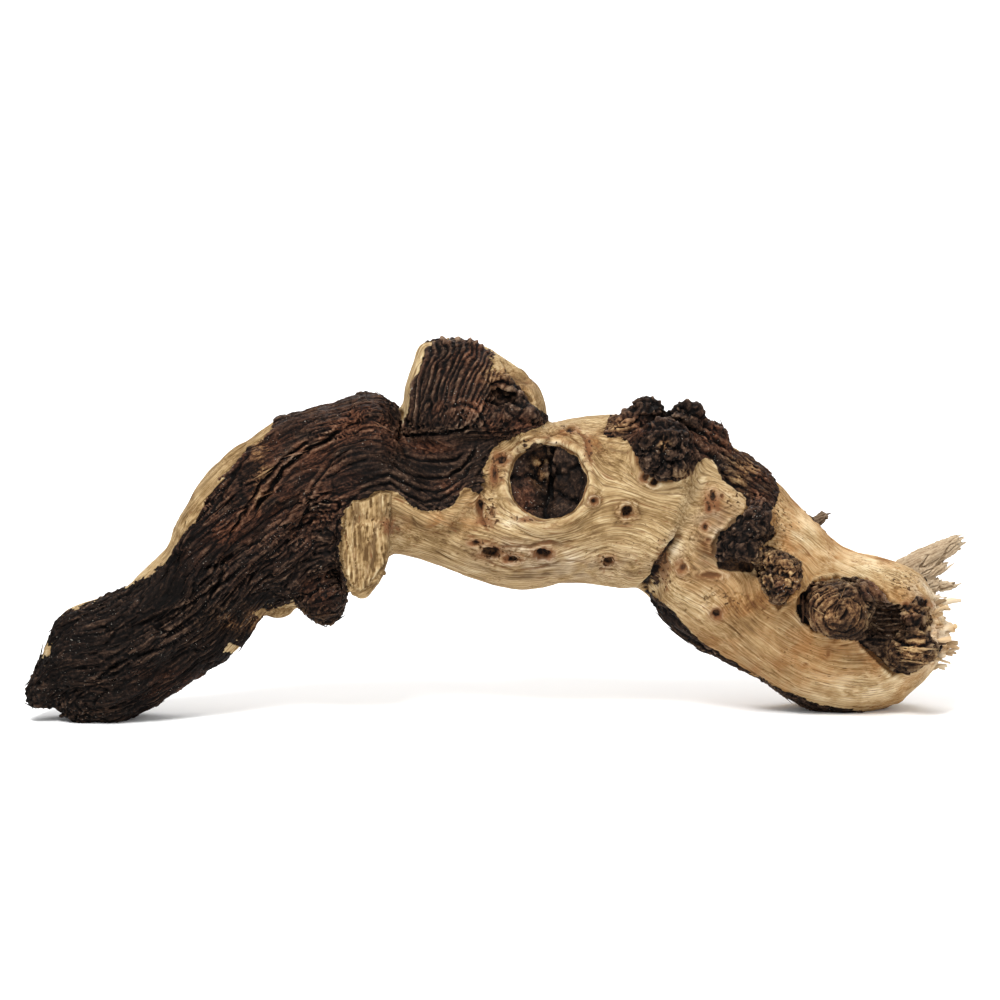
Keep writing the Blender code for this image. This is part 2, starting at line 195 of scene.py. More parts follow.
def settled(made):
    # The object's mesh with its modifiers in it. The object goes.
    bpy.context.view_layer.update()
    mesh = bpy.data.meshes.new_from_object(made.evaluated_get(bpy.context.evaluated_depsgraph_get()))
    bpy.data.objects.remove(made)
    return mesh


def pointsOf(mesh, kind="co"):
    flat = np.empty(len(mesh.vertices) * 3, np.float32)
    mesh.vertices.foreach_get(kind, flat)
    return flat.reshape(-1, 3).astype(np.float64)


def setPoints(mesh, points):
    mesh.vertices.foreach_set("co", points.astype(np.float32).ravel())
    mesh.update()


def standing(points):
    # Nothing reaches below the floor.
    points[:, 2] = np.maximum(points[:, 2], 0)
    return points


def linksOf(mesh):
    # The two ends of every edge, and how many edges meet at each point.
    ends = np.empty(len(mesh.edges) * 2, np.int32)
    mesh.edges.foreach_get("vertices", ends)
    a, b = ends[0::2], ends[1::2]
    count = np.bincount(a, minlength=len(mesh.vertices)) + np.bincount(b, minlength=len(mesh.vertices))
    return a, b, np.maximum(count, 1)


def gathered(a, b, fromA, fromB, size):
    return np.bincount(a, fromB, size) + np.bincount(b, fromA, size)


def relaxed(mesh, rounds):
    # Smooths without shrinking: each round pulls points together, then pushes them a little back.
    a, b, count = linksOf(mesh)
    points = pointsOf(mesh)
    for _ in range(rounds):
        for pull in (0.6, -0.62):
            total = np.stack([gathered(a, b, points[a, i], points[b, i], len(points)) for i in range(3)], 1)
            points += pull * (total / count[:, None] - points)
    setPoints(mesh, points)


def evened(values, links, rounds):
    # Each value is drawn to its neighbours' mean, over and over.
    a, b, count = links
    for _ in range(rounds):
        values = 0.5 * values + 0.5 * gathered(a, b, values[a], values[b], len(values)) / count
    return values


def mergedCopy(name, grow):
    piece = bmesh.new()
    piece.from_mesh(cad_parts[name].data)
    bmesh.ops.remove_doubles(piece, verts=piece.verts, dist=0.01 * mm)
    piece.normal_update()
    for vert in piece.verts:
        vert.co += vert.normal * grow
    mesh = bpy.data.meshes.new(name + "Copy")
    piece.to_mesh(mesh)
    piece.free()
    return mesh


def closedSkin(names, look):
    joined = bmesh.new()
    for name in names:
        joined.from_mesh(mergedCopy(name, look["grow"]))
    mesh = bpy.data.meshes.new("skin")
    joined.to_mesh(mesh)
    joined.free()
    made = newObject("skin", mesh)
    fuse = made.modifiers.new("fuse", "REMESH")
    fuse.mode = "VOXEL"
    fuse.voxel_size = look["voxel"]
    mesh = settled(made)
    relaxed(mesh, look["relaxing"])
    made = newObject("skin", mesh)
    finer = made.modifiers.new("finer", "SUBSURF")
    finer.levels = finer.render_levels = 1
    mesh = settled(made)
    setPoints(mesh, pointsOf(mesh) - pointsOf(mesh, "normal") * look["grow"])
    return mesh


# Where each point lies on the limb: along its run, up across it and back through it, in millimetres

run = [
    (-204, -18, 10), (-185, -17, 24), (-160, -15, 31), (-133, -11, 48), (-114, -8, 70), (-98, -6, 82),
    (-78, -4, 92), (-52, -2, 100), (-24, -1, 90), (1, -1, 88), (28, 0, 91), (58, 1, 90), (80, 3, 78),
    (98, 5, 66), (112, 6, 56), (125, 7, 47), (145, 9, 36), (165, 11, 31), (200, 11, 31),
]


def smoothRun(stations, spacing):
    stations = np.array(stations, float)
    ends = np.vstack([2 * stations[0] - stations[1], stations, 2 * stations[-1] - stations[-2]])
    made = []
    for a, b, c, d in zip(ends, ends[1:], ends[2:], ends[3:]):
        t = np.arange(0, 1, spacing / np.linalg.norm(c - b))[:, None]
        made.append(0.5 * (2 * b + (c - a) * t + (2 * a - 5 * b + 4 * c - d) * t ** 2
                           + (3 * b - a - 3 * c + d) * t ** 3))
    return np.vstack(made + [ends[-2:-1]])


def alongLimb(points):
    middle = smoothRun(run, 1.5)
    ahead = np.gradient(middle, axis=0)
    ahead /= np.linalg.norm(ahead, axis=1)[:, None]
    length = np.concatenate([[0], np.cumsum(np.linalg.norm(np.diff(middle, axis=0), axis=1))])
    across = np.cross(np.array((0, 1, 0)), -ahead)
    across /= np.linalg.norm(across, axis=1)[:, None]
    through = np.cross(across, ahead)
    found = np.empty(len(points), int)
    for start in range(0, len(points), 20000):
        some = points[start:start + 20000] * 1000
        away = (some ** 2).sum(axis=1)[:, None] - 2 * some @ middle.T + (middle ** 2).sum(axis=1)
        found[start:start + 20000] = away.argmin(axis=1)
    off = points * 1000 - middle[found]
    s = length[found] + (off * ahead[found]).sum(axis=1)
    return s, (off * across[found]).sum(axis=1), (off * through[found]).sum(axis=1)


# Where the dark heartwood shows from the front, and the pale bits and dark spots beside it.
# A spot is its column, row and two radii, in pixels.

heartwood = {
    "limb": [
        (18, 700), (30, 664), (44, 640), (60, 612), (80, 596), (100, 594), (122, 590), (136, 584),
        (150, 577), (160, 568), (168, 556), (178, 545), (184, 537), (190, 526), (198, 513),
        (206, 500), (214, 490), (222, 480), (231, 470), (240, 459), (250, 449), (262, 440), (272, 430),
        (285, 360), (395, 330),
        (401, 405), (404, 425), (409, 408), (413, 385), (420, 362), (428, 290), (500, 290), (505, 350),
        (500, 362), (507, 373), (516, 383), (525, 391), (530, 404), (542, 411), (550, 420), (541, 427),
        (528, 432), (514, 437), (500, 443), (493, 449), (488, 456), (484, 468), (483, 482), (480, 494),
        (474, 492), (466, 488), (461, 492), (455, 503), (445, 510), (432, 512), (420, 510), (409, 505),
        (403, 498), (398, 492), (389, 489), (378, 491), (368, 497), (360, 499), (352, 501), (346, 509),
        (342, 520), (343, 535), (341, 550), (343, 565), (347, 578), (350, 590), (346, 604), (341, 640),
        (303, 640), (300, 610), (290, 606), (276, 608), (262, 618), (254, 632), (244, 648), (230, 662),
        (214, 690), (150, 740), (20, 740),
    ],
    "ridge": [
        (604, 432), (609, 418), (615, 350), (760, 350), (800, 462), (779, 486), (778, 500), (771, 512),
        (771, 524), (776, 534), (768, 541), (760, 548), (754, 560), (738, 566), (722, 565), (715, 556),
        (716, 541), (722, 531), (734, 522), (742, 512), (748, 505), (745, 497), (737, 490), (728, 485),
        (721, 479), (718, 468), (712, 460), (703, 459), (697, 465), (691, 474), (681, 481), (668, 482),
        (655, 479), (643, 472), (636, 461), (632, 450), (628, 442), (618, 438), (607, 438),
    ],
    "peg": [
        (757, 552), (768, 544), (779, 548), (790, 555), (801, 562), (803, 574), (799, 590), (790, 600),
        (778, 608), (770, 601), (762, 590), (756, 576), (754, 562),
    ],
    "end": [
        (796, 612), (802, 596), (812, 582), (832, 577), (856, 577), (872, 583), (886, 596), (893, 604),
        (906, 606), (917, 597), (927, 599), (932, 616), (931, 636), (940, 646), (934, 660), (922, 668),
        (908, 675), (893, 674), (880, 661), (868, 649), (858, 640), (835, 640), (815, 634), (803, 624),
    ],
    "underside": [
        (641, 590), (650, 592), (660, 600), (672, 611), (684, 624), (694, 636), (710, 647), (732, 661),
        (758, 676), (788, 691), (820, 704), (866, 711), (900, 718), (800, 730), (700, 700), (630, 650),
    ],
}
fades = {   # from the column or row where something sets in to the one where it is full
    "stubRow": (440, 425), "stubLeft": (398, 402), "stubRight": (560, 545), "limbEdge": (360, 320),
    "endColumn": (926, 940), "endRow": (575, 590), "ridgedRow": (408, 398), "ridgedColumn": (502, 486),
}
raisedUpTo = 560   # column up to which the dark wood stands a little over the pale
paleBits = {
    "lowEdge": (232, 648, 7, 5), "lowSpot": (266, 612, 11, 4), "lowLump": (290, 607, 9, 5),
    "footPatch": (48, 650, 4, 6), "footRim": (68, 607, 13, 3), "stubCorner": (500, 363, 9, 8),
}
notches = {"largeKnot": (536, 450, 9, 9), "cleftLow": (656, 575, 3, 12)}
brownSpots = {
    "chainLeft": (492, 551, 15, 6), "chainRight": (512, 558, 10, 5), "chainTop": (478, 543, 9, 3),
    "underRound": (607, 561, 9, 5), "roughEdge": (486, 522, 10, 5), "besideFold": (389, 528, 7, 7),
    "besideCleft": (664, 566, 7, 18), "knotSide": (500, 460, 7, 6), "underKnot": (526, 520, 12, 3),
    "crestDark": (588, 448, 4, 16), "crestRim": (570, 430, 9, 4), "orangeHoles": (713, 500, 8, 10),
    "besideFins": (862, 640, 8, 6),
}


def bulge(fact, at):
    # Distance from a place's middle as a share of its radius.
    column, row, wide, high = at
    return np.hypot((fact["column"] - column) / wide, (fact["row"] - row) / high)


def within(fact, outline, low, high):
    # 1 well inside an outline on the front, 0 outside it.
    return ramp(insideBy(fact["column"], fact["row"], outline), low, high) * fact["front"]


def spotted(fact, spots, softness):
    # 1 inside any of the spots, with uneven edges.
    total = np.zeros(len(fact["s"]))
    uneven = 1 + 0.5 * fact["wander"] + 0.9 * layered(fact["places"] / 1.9, 2, 23)
    for spot in spots.values():
        away = bulge(fact, spot) * uneven
        total = np.maximum(total, ramp(1 + softness - away, 0, 2 * softness))
    return total * fact["front"]


def facts(mesh):
    # What the relief and the colours of each point depend on.
    points, normals = pointsOf(mesh), pointsOf(mesh, "normal")
    column, row = seenAt(points)
    s, a, b = alongLimb(points)
    facing = -normals @ viewAxes()[1]
    places, lying = points * 1000, np.stack([s, a, b], 1)
    fact = {"points": points, "places": places, "normals": normals, "column": column, "row": row,
            "s": s, "a": a, "b": b, "front": ramp(facing, 0.0, 0.3), "back": ramp(-facing, 0.0, 0.3)}
    wander = fact["wander"] = layered(places / 4.5, 3, 3)
    fact["warped"] = places + 4.5 * np.stack([layered(places / 7, 2, seed) for seed in (131, 132, 133)], 1)

    # The front's dark wood ends in tongues on the top, and has ragged borders
    tongues = 10 * layered(lying / (24, 12, 30), 2, 25)
    ahead = fact["ahead"] = ramp(10 + 4 * wander + tongues - b, -1.5, 1.5)
    edge = np.full(len(points), -1e9)
    for outline in heartwood.values():
        edge = np.maximum(edge, insideBy(column, row, outline))
    onStub = ramp(row, *fades["stubRow"]) * ramp(column, *fades["stubLeft"])
    onStub = fact["stub"] = onStub * ramp(column, *fades["stubRight"])
    edge += (3.0 - 1.9 * onStub) * layered(places / 3.2, 3, 21)
    edge += 5.0 * layered(lying / (15, 1.8, 1.8), 2, 22) * ramp(column, *fades["limbEdge"])
    edge -= ramp(b, -6, 10) * (20 + 30 * layered(lying / (16, 9, 9), 2, 24))
    fact["edge"] = edge
    heart = ramp(edge, -0.8, 0.8) * ahead * (1 - spotted(fact, paleBits, 0.12))

    # The back is pale, with dark streaks along the grain
    behind = layered(lying / (95, 13, 13), 3, 8) + 0.16 * ramp(s, 175, 70)
    behind += 0.22 * layered(lying / (14, 1.9, 1.9), 2, 9)
    fact["rim"] = ramp(behind, 0.02, 0.20) * (1 - ahead)
    fact["heart"] = np.maximum(heart, ramp(behind, 0.16, 0.24) * (1 - ahead))
    fact["torn"] = within(fact, tornBase, -1, 1.5)
    fact["calm"] = within(fact, brownBands, -2, 5)
    return fact


# Knots, burls and pits: column, row and two radii in pixels, heights in millimetres.
# A lump is its column, row, radius and height.

largeKnot = {
    "at": (548, 482, 38, 37), "lip": 1.1, "hollow": 2.4, "drift": 8.0, "crack": 1.5, "grain": 4.4,
    "lumps": [(524, 464, 16, 3.4), (528, 493, 18, 4.4), (531, 514, 12, 2.6), (545, 470, 11, 3.2),
              (564, 460, 15, 3.4), (574, 484, 20, 2.2), (560, 506, 16, 3.2)],
}
roundKnot = {
    "at": (664, 454, 28, 28), "lip": 0.4, "hollow": 1.0, "drift": 8.0, "crack": 1.3, "grain": 3.6,
    "lumps": [(650, 440, 12, 2.0), (670, 436, 11, 2.6), (652, 462, 12, 2.2), (673, 456, 9, 1.6),
              (683, 470, 11, 3.0), (664, 474, 9, 2.0)],
}
burls = {
    "cleft": {"at": (742, 543, 25, 22), "rough": 2.0, "grain": 5.0},
    "upperCleft": {"at": (752, 513, 22, 18), "rough": 2.0, "grain": 4.5},
    "peg": {"at": (777, 576, 25, 31), "rough": 2.0, "grain": 4.0},
    "broad": {"at": (832, 607, 35, 32), "rough": 0.8, "grain": 8.0, "fibrous": True},
    "leaf": {"at": (873, 590, 20, 11), "rough": 1.0, "grain": 5.0, "broken": 0.3},
    "endTop": {"at": (920, 615, 18, 16), "rough": 2.2, "grain": 4.5},
    "endLow": {"at": (905, 658, 28, 16), "rough": 1.2, "grain": 5.0, "fibrous": True},
    "crest": {"at": (680, 413, 75, 18), "rough": 3.4, "grain": 6.0},
    "ridge": {"at": (735, 455, 50, 34), "rough": 1.2, "grain": 4.5, "fibrous": True},
    "stubLumps": {"at": (524, 392, 24, 30), "rough": 2.2, "grain": 7.0},
    "stubTop": {"at": (455, 338, 34, 10), "rough": 2.4, "grain": 5.0},
}
pits = {
    "darkRed": {"at": (501, 459, 6, 5), "depth": 1.4, "lip": 0.3},
    "redStreak": {"at": (494, 473, 3, 9), "depth": 1.0, "lip": 0.2},
    "roughUpper": {"at": (480, 506, 3, 8), "depth": 1.3, "lip": 0.3},
    "roughRight": {"at": (492, 512, 3, 4), "depth": 0.8, "lip": 0.2},
    "chainStart": {"at": (476, 543, 6, 3), "depth": 1.2, "lip": 0.4},
    "chainMiddle": {"at": (491, 552, 9, 5), "depth": 2.0, "lip": 0.6},
    "chainEnd": {"at": (512, 559, 7, 4), "depth": 1.6, "lip": 0.6},
    "oval": {"at": (543, 553, 9, 5), "depth": 2.0, "lip": 0.8},
    "besideKnot": {"at": (594, 501, 4, 4), "depth": 1.2, "lip": 0.8},
    "brightRim": {"at": (627, 511, 6, 6), "depth": 2.0, "lip": 1.1},
    "underRound": {"at": (608, 561, 5, 4), "depth": 2.0, "lip": 0.6},
    "onCrest": {"at": (570, 429, 5, 3), "depth": 1.2, "lip": 0.5},
    "pairLeft": {"at": (645, 478, 4, 4), "depth": 1.2, "lip": 0.4},
    "pairRight": {"at": (654, 483, 5, 4), "depth": 1.5, "lip": 0.6},
    "orange": {"at": (713, 496, 4, 6), "depth": 1.4, "lip": 0.4},
    "endHoleLeft": {"at": (907, 607, 5, 4), "depth": 1.6, "lip": 0.3},
    "pegEye": {"at": (769, 584, 3, 4), "depth": 1.0, "lip": 1.2},
    "orangeLow": {"at": (709, 508, 3, 4), "depth": 1.2, "lip": 0.3},
    "orangeRight": {"at": (722, 496, 2, 2), "depth": 0.8, "lip": 0.2},
    "collar": {"at": (705, 527, 3, 4), "depth": 1.5, "lip": 0.4},
    "collarLow": {"at": (709, 540, 3, 2), "depth": 0.8, "lip": 0.3},
    "brownOval": {"at": (682, 567, 5, 5), "depth": 1.0, "lip": 0.7},
    "lowRound": {"at": (716, 614, 5, 5), "depth": 1.5, "lip": 0.4},
    "eye": {"at": (710, 575, 11, 3), "depth": 0.6, "lip": 0.4},
    "marks": {"at": (828, 654, 2, 4), "depth": 0.3, "lip": 0.1},
    "marksLow": {"at": (806, 664, 3, 2), "depth": 0.3, "lip": 0.1},
    "endHole": {"at": (924, 604, 6, 5), "depth": 2.4, "lip": 0.3},
    "endHoleLow": {"at": (923, 629, 4, 4), "depth": 2.0, "lip": 0.3},
}
bends = {   # places where the grain rises over something, or dips, by so many millimetres
    "overPit": {"at": (606, 550, 16, 12), "rise": 2.4},
    "arch": {"at": (650, 570, 16, 18), "rise": 4.5},
    "besideArch": {"at": (628, 574, 10, 12), "rise": -1.6},
    "crestSwell": {"at": (600, 455, 26, 20), "rise": -3.0},
    "bandSwell": {"at": (745, 585, 22, 10), "rise": 2.0},
}
cleft = {
    "line": [(684, 526), (677, 540), (669, 553), (660, 567), (652, 580), (642, 592)],
    "width": 4.2, "depth": 2.8,
}
tornBase = [
    (346, 509), (352, 501), (362, 500), (368, 498), (380, 492), (391, 493), (390, 515), (388, 540),
    (391, 550), (386, 562), (377, 573), (367, 588), (360, 591), (350, 585), (346, 570), (342, 556),
    (344, 535),
]
brownBands = [
    (398, 436), (430, 433), (463, 430), (484, 438), (482, 470), (464, 492), (440, 507), (410, 502),
    (392, 486), (352, 494), (352, 484), (398, 464),
]
finHollow = {
    "outline": [(866, 604), (884, 600), (905, 606), (904, 622), (898, 636), (886, 641), (874, 632)],
    "spacing": 4.0, "height": 0.8, "depth": 2.4, "column": 885,
}
# A hollow in the relief, painted near-black further down: painted shade.
blackHollow = {
    "outline": [(716, 562), (728, 558), (744, 561), (757, 565), (752, 572), (730, 572), (718, 569)],
    "depth": 2.5,
}
fissures = {   # width in pixels, depth in millimetres
    "shoulder": {"line": [(345, 428), (322, 442), (300, 455), (284, 468), (270, 490), (258, 506),
        (250, 522)], "width": 1.8, "depth": 2.2},
    "upper": {"line": [(312, 440), (297, 449), (283, 460), (262, 482), (246, 508), (236, 526),
        (225, 545)], "width": 1.5, "depth": 1.8},
    "edge": {"line": [(252, 452), (240, 466), (228, 486), (214, 508), (200, 528)], "width": 1.5,
        "depth": 1.3},
    "face": {"line": [(300, 500), (282, 520), (262, 540), (240, 552), (215, 566), (190, 574)],
        "width": 2.0, "depth": 1.5},
    "middle": {"line": [(352, 446), (330, 462), (316, 484), (306, 510), (298, 536)], "width": 1.5,
        "depth": 1.5},
    "low": {"line": [(250, 562), (222, 584), (194, 602), (160, 616), (124, 632)], "width": 1.6,
        "depth": 1.6},
    "foot": {"line": [(180, 640), (150, 652), (118, 664), (90, 684)], "width": 1.5, "depth": 1.5},
    "crotch": {"line": [(400, 408), (401, 420), (398, 432), (399, 446)], "width": 2.2, "depth": 2.8},
    "stubEdge": {"line": [(427, 350), (420, 372), (414, 396), (411, 420)], "width": 1.8, "depth": 2.2},
    "bandTop": {"line": [(398, 438), (412, 435), (430, 434), (448, 434), (463, 430), (474, 421)],
        "width": 1.4, "depth": 1.5},
    "bandLow": {"line": [(400, 447), (407, 456), (420, 460), (440, 461), (456, 459), (467, 451)],
        "width": 1.6, "depth": 1.8},
    "secondBand": {"line": [(390, 460), (402, 470), (415, 476), (432, 479), (448, 477), (462, 468),
        (473, 455), (478, 440)], "width": 1.5, "depth": 1.6},
    "thirdBand": {"line": [(350, 488), (368, 480), (388, 474), (403, 482), (418, 490), (436, 492),
        (452, 487), (466, 475), (476, 460)], "width": 1.5, "depth": 1.5},
    "lastBand": {"line": [(352, 497), (370, 488), (390, 483), (408, 496), (424, 502), (440, 500),
        (455, 492), (470, 480)], "width": 1.3, "depth": 1.2},
    "crescent": {"line": [(440, 412), (452, 405), (464, 403), (477, 409), (486, 422), (489, 438)],
        "width": 1.6, "depth": 1.0},
    "overChain": {"line": [(468, 536), (485, 541), (505, 547), (528, 546), (548, 543), (572, 547)],
        "width": 1.4, "depth": 0.6, "tint": 0.8},
    "underChain": {"line": [(478, 555), (495, 565), (515, 571), (540, 568), (562, 560), (590, 562)],
        "width": 1.3, "depth": 0.5, "tint": 0.7},
    "leafTop": {"line": [(488, 386), (500, 381), (514, 385), (526, 393), (536, 403)], "width": 1.8,
        "depth": 2.0},
    "leafLow": {"line": [(484, 399), (498, 405), (512, 402), (526, 409)], "width": 1.6, "depth": 1.8},
    "leafFold": {"line": [(492, 392), (506, 391), (520, 396)], "width": 1.5, "depth": 1.4},
    "broadRim": {"line": [(866, 600), (858, 586), (838, 577), (815, 582), (800, 600), (799, 614),
        (812, 632), (834, 639), (856, 639)], "width": 1.7, "depth": 1.8},
    "broadInner": {"line": [(806, 604), (812, 592), (824, 584), (838, 584)], "width": 1.5, "depth": 1.2},
    "endRim": {"line": [(858, 640), (870, 652), (882, 664), (893, 675), (908, 676)], "width": 2.0,
        "depth": 2.0},
    "endSplit": {"line": [(892, 636), (904, 644), (920, 646), (932, 640)], "width": 1.6, "depth": 1.5},
    "pegRim": {"line": [(756, 560), (760, 580), (770, 600), (779, 609), (792, 600), (802, 580)],
        "width": 1.6, "depth": 1.6},
    "collarEdge": {"line": [(748, 500), (744, 512), (732, 522), (720, 532), (714, 546), (713, 560)],
        "width": 1.8, "depth": 1.6},
    "knotCrack": {"line": [(553, 447), (550, 460), (552, 474), (549, 488), (553, 502)], "width": 1.6,
        "depth": 2.4},
    "crestLine": {"line": [(576, 429), (584, 437), (589, 450), (592, 466)], "width": 1.3, "depth": 0.8,
        "tint": 0.8},
    "crestLow": {"line": [(548, 436), (558, 433), (570, 436), (580, 445)], "width": 1.2, "depth": 0.6,
        "tint": 0.6},
    "lipTop": {"line": [(508, 452), (520, 442), (534, 437), (548, 438)], "width": 1.2, "depth": 0.6,
        "tint": 0.7},
    "roughLeft": {"line": [(476, 498), (478, 510), (482, 522), (488, 530)], "width": 1.6, "depth": 1.2,
        "tint": 0.9},
    "chain": {"line": [(472, 542), (484, 549), (498, 556), (512, 561), (526, 558)], "width": 1.6,
        "depth": 1.0, "tint": 0.9},
    "besideChain": {"line": [(526, 548), (544, 541), (560, 543), (578, 540)], "width": 1.2, "depth": 0.6,
        "tint": 0.6},
    "ridgeEdge": {"line": [(690, 440), (701, 452), (715, 457), (722, 468), (731, 481), (746, 493)],
        "width": 2.4, "depth": 2.2},
    "ridgeMiddle": {"line": [(676, 424), (700, 432), (722, 446), (744, 464), (764, 488)], "width": 1.8,
        "depth": 1.6},
    "ridgeUpper": {"line": [(715, 418), (735, 434), (754, 454), (770, 476)], "width": 1.6, "depth": 1.4},
    "leafRim": {"line": [(848, 579), (858, 592), (868, 602), (884, 606)], "width": 1.6, "depth": 1.6},
    "leafUpper": {"line": [(856, 577), (872, 582), (886, 594), (892, 604)], "width": 1.4, "depth": 1.2},
    "armpit": {"line": [(640, 590), (652, 602), (668, 612), (684, 628)], "width": 2.4, "depth": 1.6},
}


def finWave(fact):
    off = fact["column"] - finHollow["column"]
    fan = fact["row"] - 0.12 * off + 0.012 * off ** 2 + 1.2 * fact["wander"]
    return np.cos(fan * 2 * math.pi / finHollow["spacing"])


def knotReach(fact, knot):
    # Distance from a knot's middle as a share of its radius, a little uneven.
    return bulge(fact, knot["at"]) * (1 + 0.07 * layered(fact["places"] / 6, 2, 44))


def nearBurl(fact):
    # 1 on the knots and the burls that break into plates.
    total = np.zeros(len(fact["s"]))
    for knot in [largeKnot, roundKnot, *burls.values()]:
        if "fibrous" not in knot:
            total = np.maximum(total, ramp(1.15 - bulge(fact, knot["at"]), 0, 0.15))
    return total * fact["front"]


def burlPlates(fact):
    # The plates on burls and knots: 1 on a plate, lower in a crack, and a chance value for each plate.
    top, chance = np.ones(len(fact["s"])), np.full(len(fact["s"]), 0.5)
    for seed, knot in enumerate([largeKnot, roundKnot, *burls.values()]):
        chosen = (bulge(fact, knot["at"]) < 1.15) & (fact["front"] > 0.02)
        places = fact["warped"][chosen] / knot["grain"]
        border, value = plates(places, seed)
        finer, other = plates(places * 2.0, seed + 40)
        broken = knot.get("broken", 0.8)
        top[chosen] = 1 - broken * (1 - 0.65 * ramp(border, 0, 0.25) - 0.35 * ramp(finer, 0, 0.35))
        chance[chosen] = 0.5 + broken * (0.6 * value + 0.4 * other - 0.5)
    return top, chance


backKnots = {   # x, z and two radii in millimetres
    "knot": (-18, 92, 10, 8), "end": (140, 40, 10, 7), "foot": (-160, 30, 8, 5), "small": (64, 84, 4, 3),
    "low": (-88, 70, 4, 3), "high": (100, 96, 5, 4),
}


def behindKnot(fact, knot):
    x, z, wide, high = knot
    return np.hypot((fact["places"][:, 0] - x) / wide, (fact["places"][:, 2] - z) / high)


rolls = {   # rounded folds, or hollows where the height is below 0; width in pixels, height in millimetres
    "brownBand": {"line": [(400, 446), (415, 449), (440, 449), (460, 444)], "width": 6, "height": 1.3},
    "crescent": {"line": [(428, 430), (440, 418), (456, 410), (468, 409), (478, 416), (484, 430)],
        "width": 6, "height": 0.9},
    "leafHollow": {"line": [(492, 389), (504, 396), (518, 397)], "width": 6, "height": -2.2},
    "lowerLip": {"line": [(488, 412), (505, 414), (522, 410), (538, 415)], "width": 6, "height": 1.8},
    "shoulder": {"line": [(300, 436), (330, 424), (360, 418), (388, 416)], "width": 8, "height": 1.0},
    "knee": {"line": [(338, 500), (334, 530), (336, 560), (338, 590)], "width": 9, "height": 0.9},
    "endLeaf": {"line": [(852, 590), (868, 587), (882, 594), (892, 606)], "width": 5, "height": 1.6},
    "endLow": {"line": [(882, 652), (897, 654), (914, 652), (934, 646)], "width": 8, "height": 2.2},
    "betweenHoles": {"line": [(904, 612), (914, 620), (928, 618)], "width": 5, "height": 1.6},
    "cleftRidge": {"line": [(764, 484), (758, 500), (766, 520), (760, 540)], "width": 8, "height": 1.2},
    "rope": {"line": [(330, 470), (300, 500), (276, 530), (240, 560), (205, 590), (150, 625)],
        "width": 8, "height": 1.3},
    "besideRope": {"line": [(315, 505), (290, 540), (262, 570), (230, 592)], "width": 9, "height": -1.3},
}


def grainFlow(fact):
    # The grain parts around the knots, as water does around stones.
    a, s = fact["a"].copy(), fact["s"]
    front = fact["front"]
    stones = [(largeKnot, 1.25, 3.6), (roundKnot, 1.2, 3.6)]
    stones += [(burls["broad"], 1.0, 3.0), (burls["peg"], 1.0, 3.0)]
    stones += [(pit, 1.0, 3.2) for pit in pits.values()]
    for knot, reach, spread in stones:
        away = bulge(fact, knot["at"])
        core = (away < 1) & (front > 0.2)
        level = fact["a"][core].mean()
        share = np.minimum(1, (reach / np.maximum(away, 0.01)) ** 2) * np.exp(-(away / spread) ** 2)
        a -= (fact["a"] - level) * share * front
    for knot in backKnots.values():
        away = behindKnot(fact, knot)
        core = (away < 1) & (fact["back"] > 0.2)
        share = np.minimum(1, (1.2 / np.maximum(away, 0.01)) ** 2) * np.exp(-(away / 3.6) ** 2)
        a -= (fact["a"] - fact["a"][core].mean()) * share * fact["back"]
    for bend in bends.values():
        a -= bend["rise"] * np.exp(-bulge(fact, bend["at"]) ** 2) * front
    a += 2.8 * noise(np.stack([s / 34, a / 22, fact["b"] / 22], 1), 31)
    a += 1.0 * noise(np.stack([s / 11, a / 9, fact["b"] / 9], 1), 33)
    flow = np.stack([s, a, fact["b"]], 1)
    x, y, z = fact["places"].T
    lean = np.clip(0.19 + 0.010 * (x + 35), 0.15, 0.55)     # the stub's ridges fan out upwards
    upward = np.stack([z, x - lean * (z - 126), y], 1)
    down = np.stack([z, x + 0.05 * z, y], 1)
    stub, torn = fact["stub"][:, None], fact["torn"][:, None]
    return flow * (1 - stub) * (1 - torn) + upward * stub * (1 - torn) + down * torn


def grainAim(fact, flow, links):
    # The fibres' direction along the surface: square to the way the grain's level changes.
    a, b = links[:2]
    points, normals = fact["points"], fact["normals"]
    turn = np.arctan2(flow[:, 1], -flow[:, 2])
    edge = points[b] - points[a]
    rise = (turn[b] - turn[a] + math.pi) % (2 * math.pi) - math.pi
    rise /= np.maximum((edge ** 2).sum(axis=1), 1e-12)
    steep = rise[:, None] * edge
    slope = np.stack([gathered(a, b, steep[:, i], steep[:, i], len(points)) for i in range(3)], 1)
    aim = np.cross(slope, normals)
    aim *= np.where(aim[:, 0] < 0, -1, 1)[:, None]
    aim /= np.maximum(np.linalg.norm(aim, axis=1), 1e-9)[:, None]
    for share, way in ((fact["stub"], (0.3, 0, 1)), (fact["torn"], (0.05, 0, -1))):
        aim = aim * (1 - share[:, None]) + np.array(way) * share[:, None]
    aim -= normals * (aim * normals).sum(axis=1)[:, None]
    return aim / np.maximum(np.linalg.norm(aim, axis=1), 1e-9)[:, None]


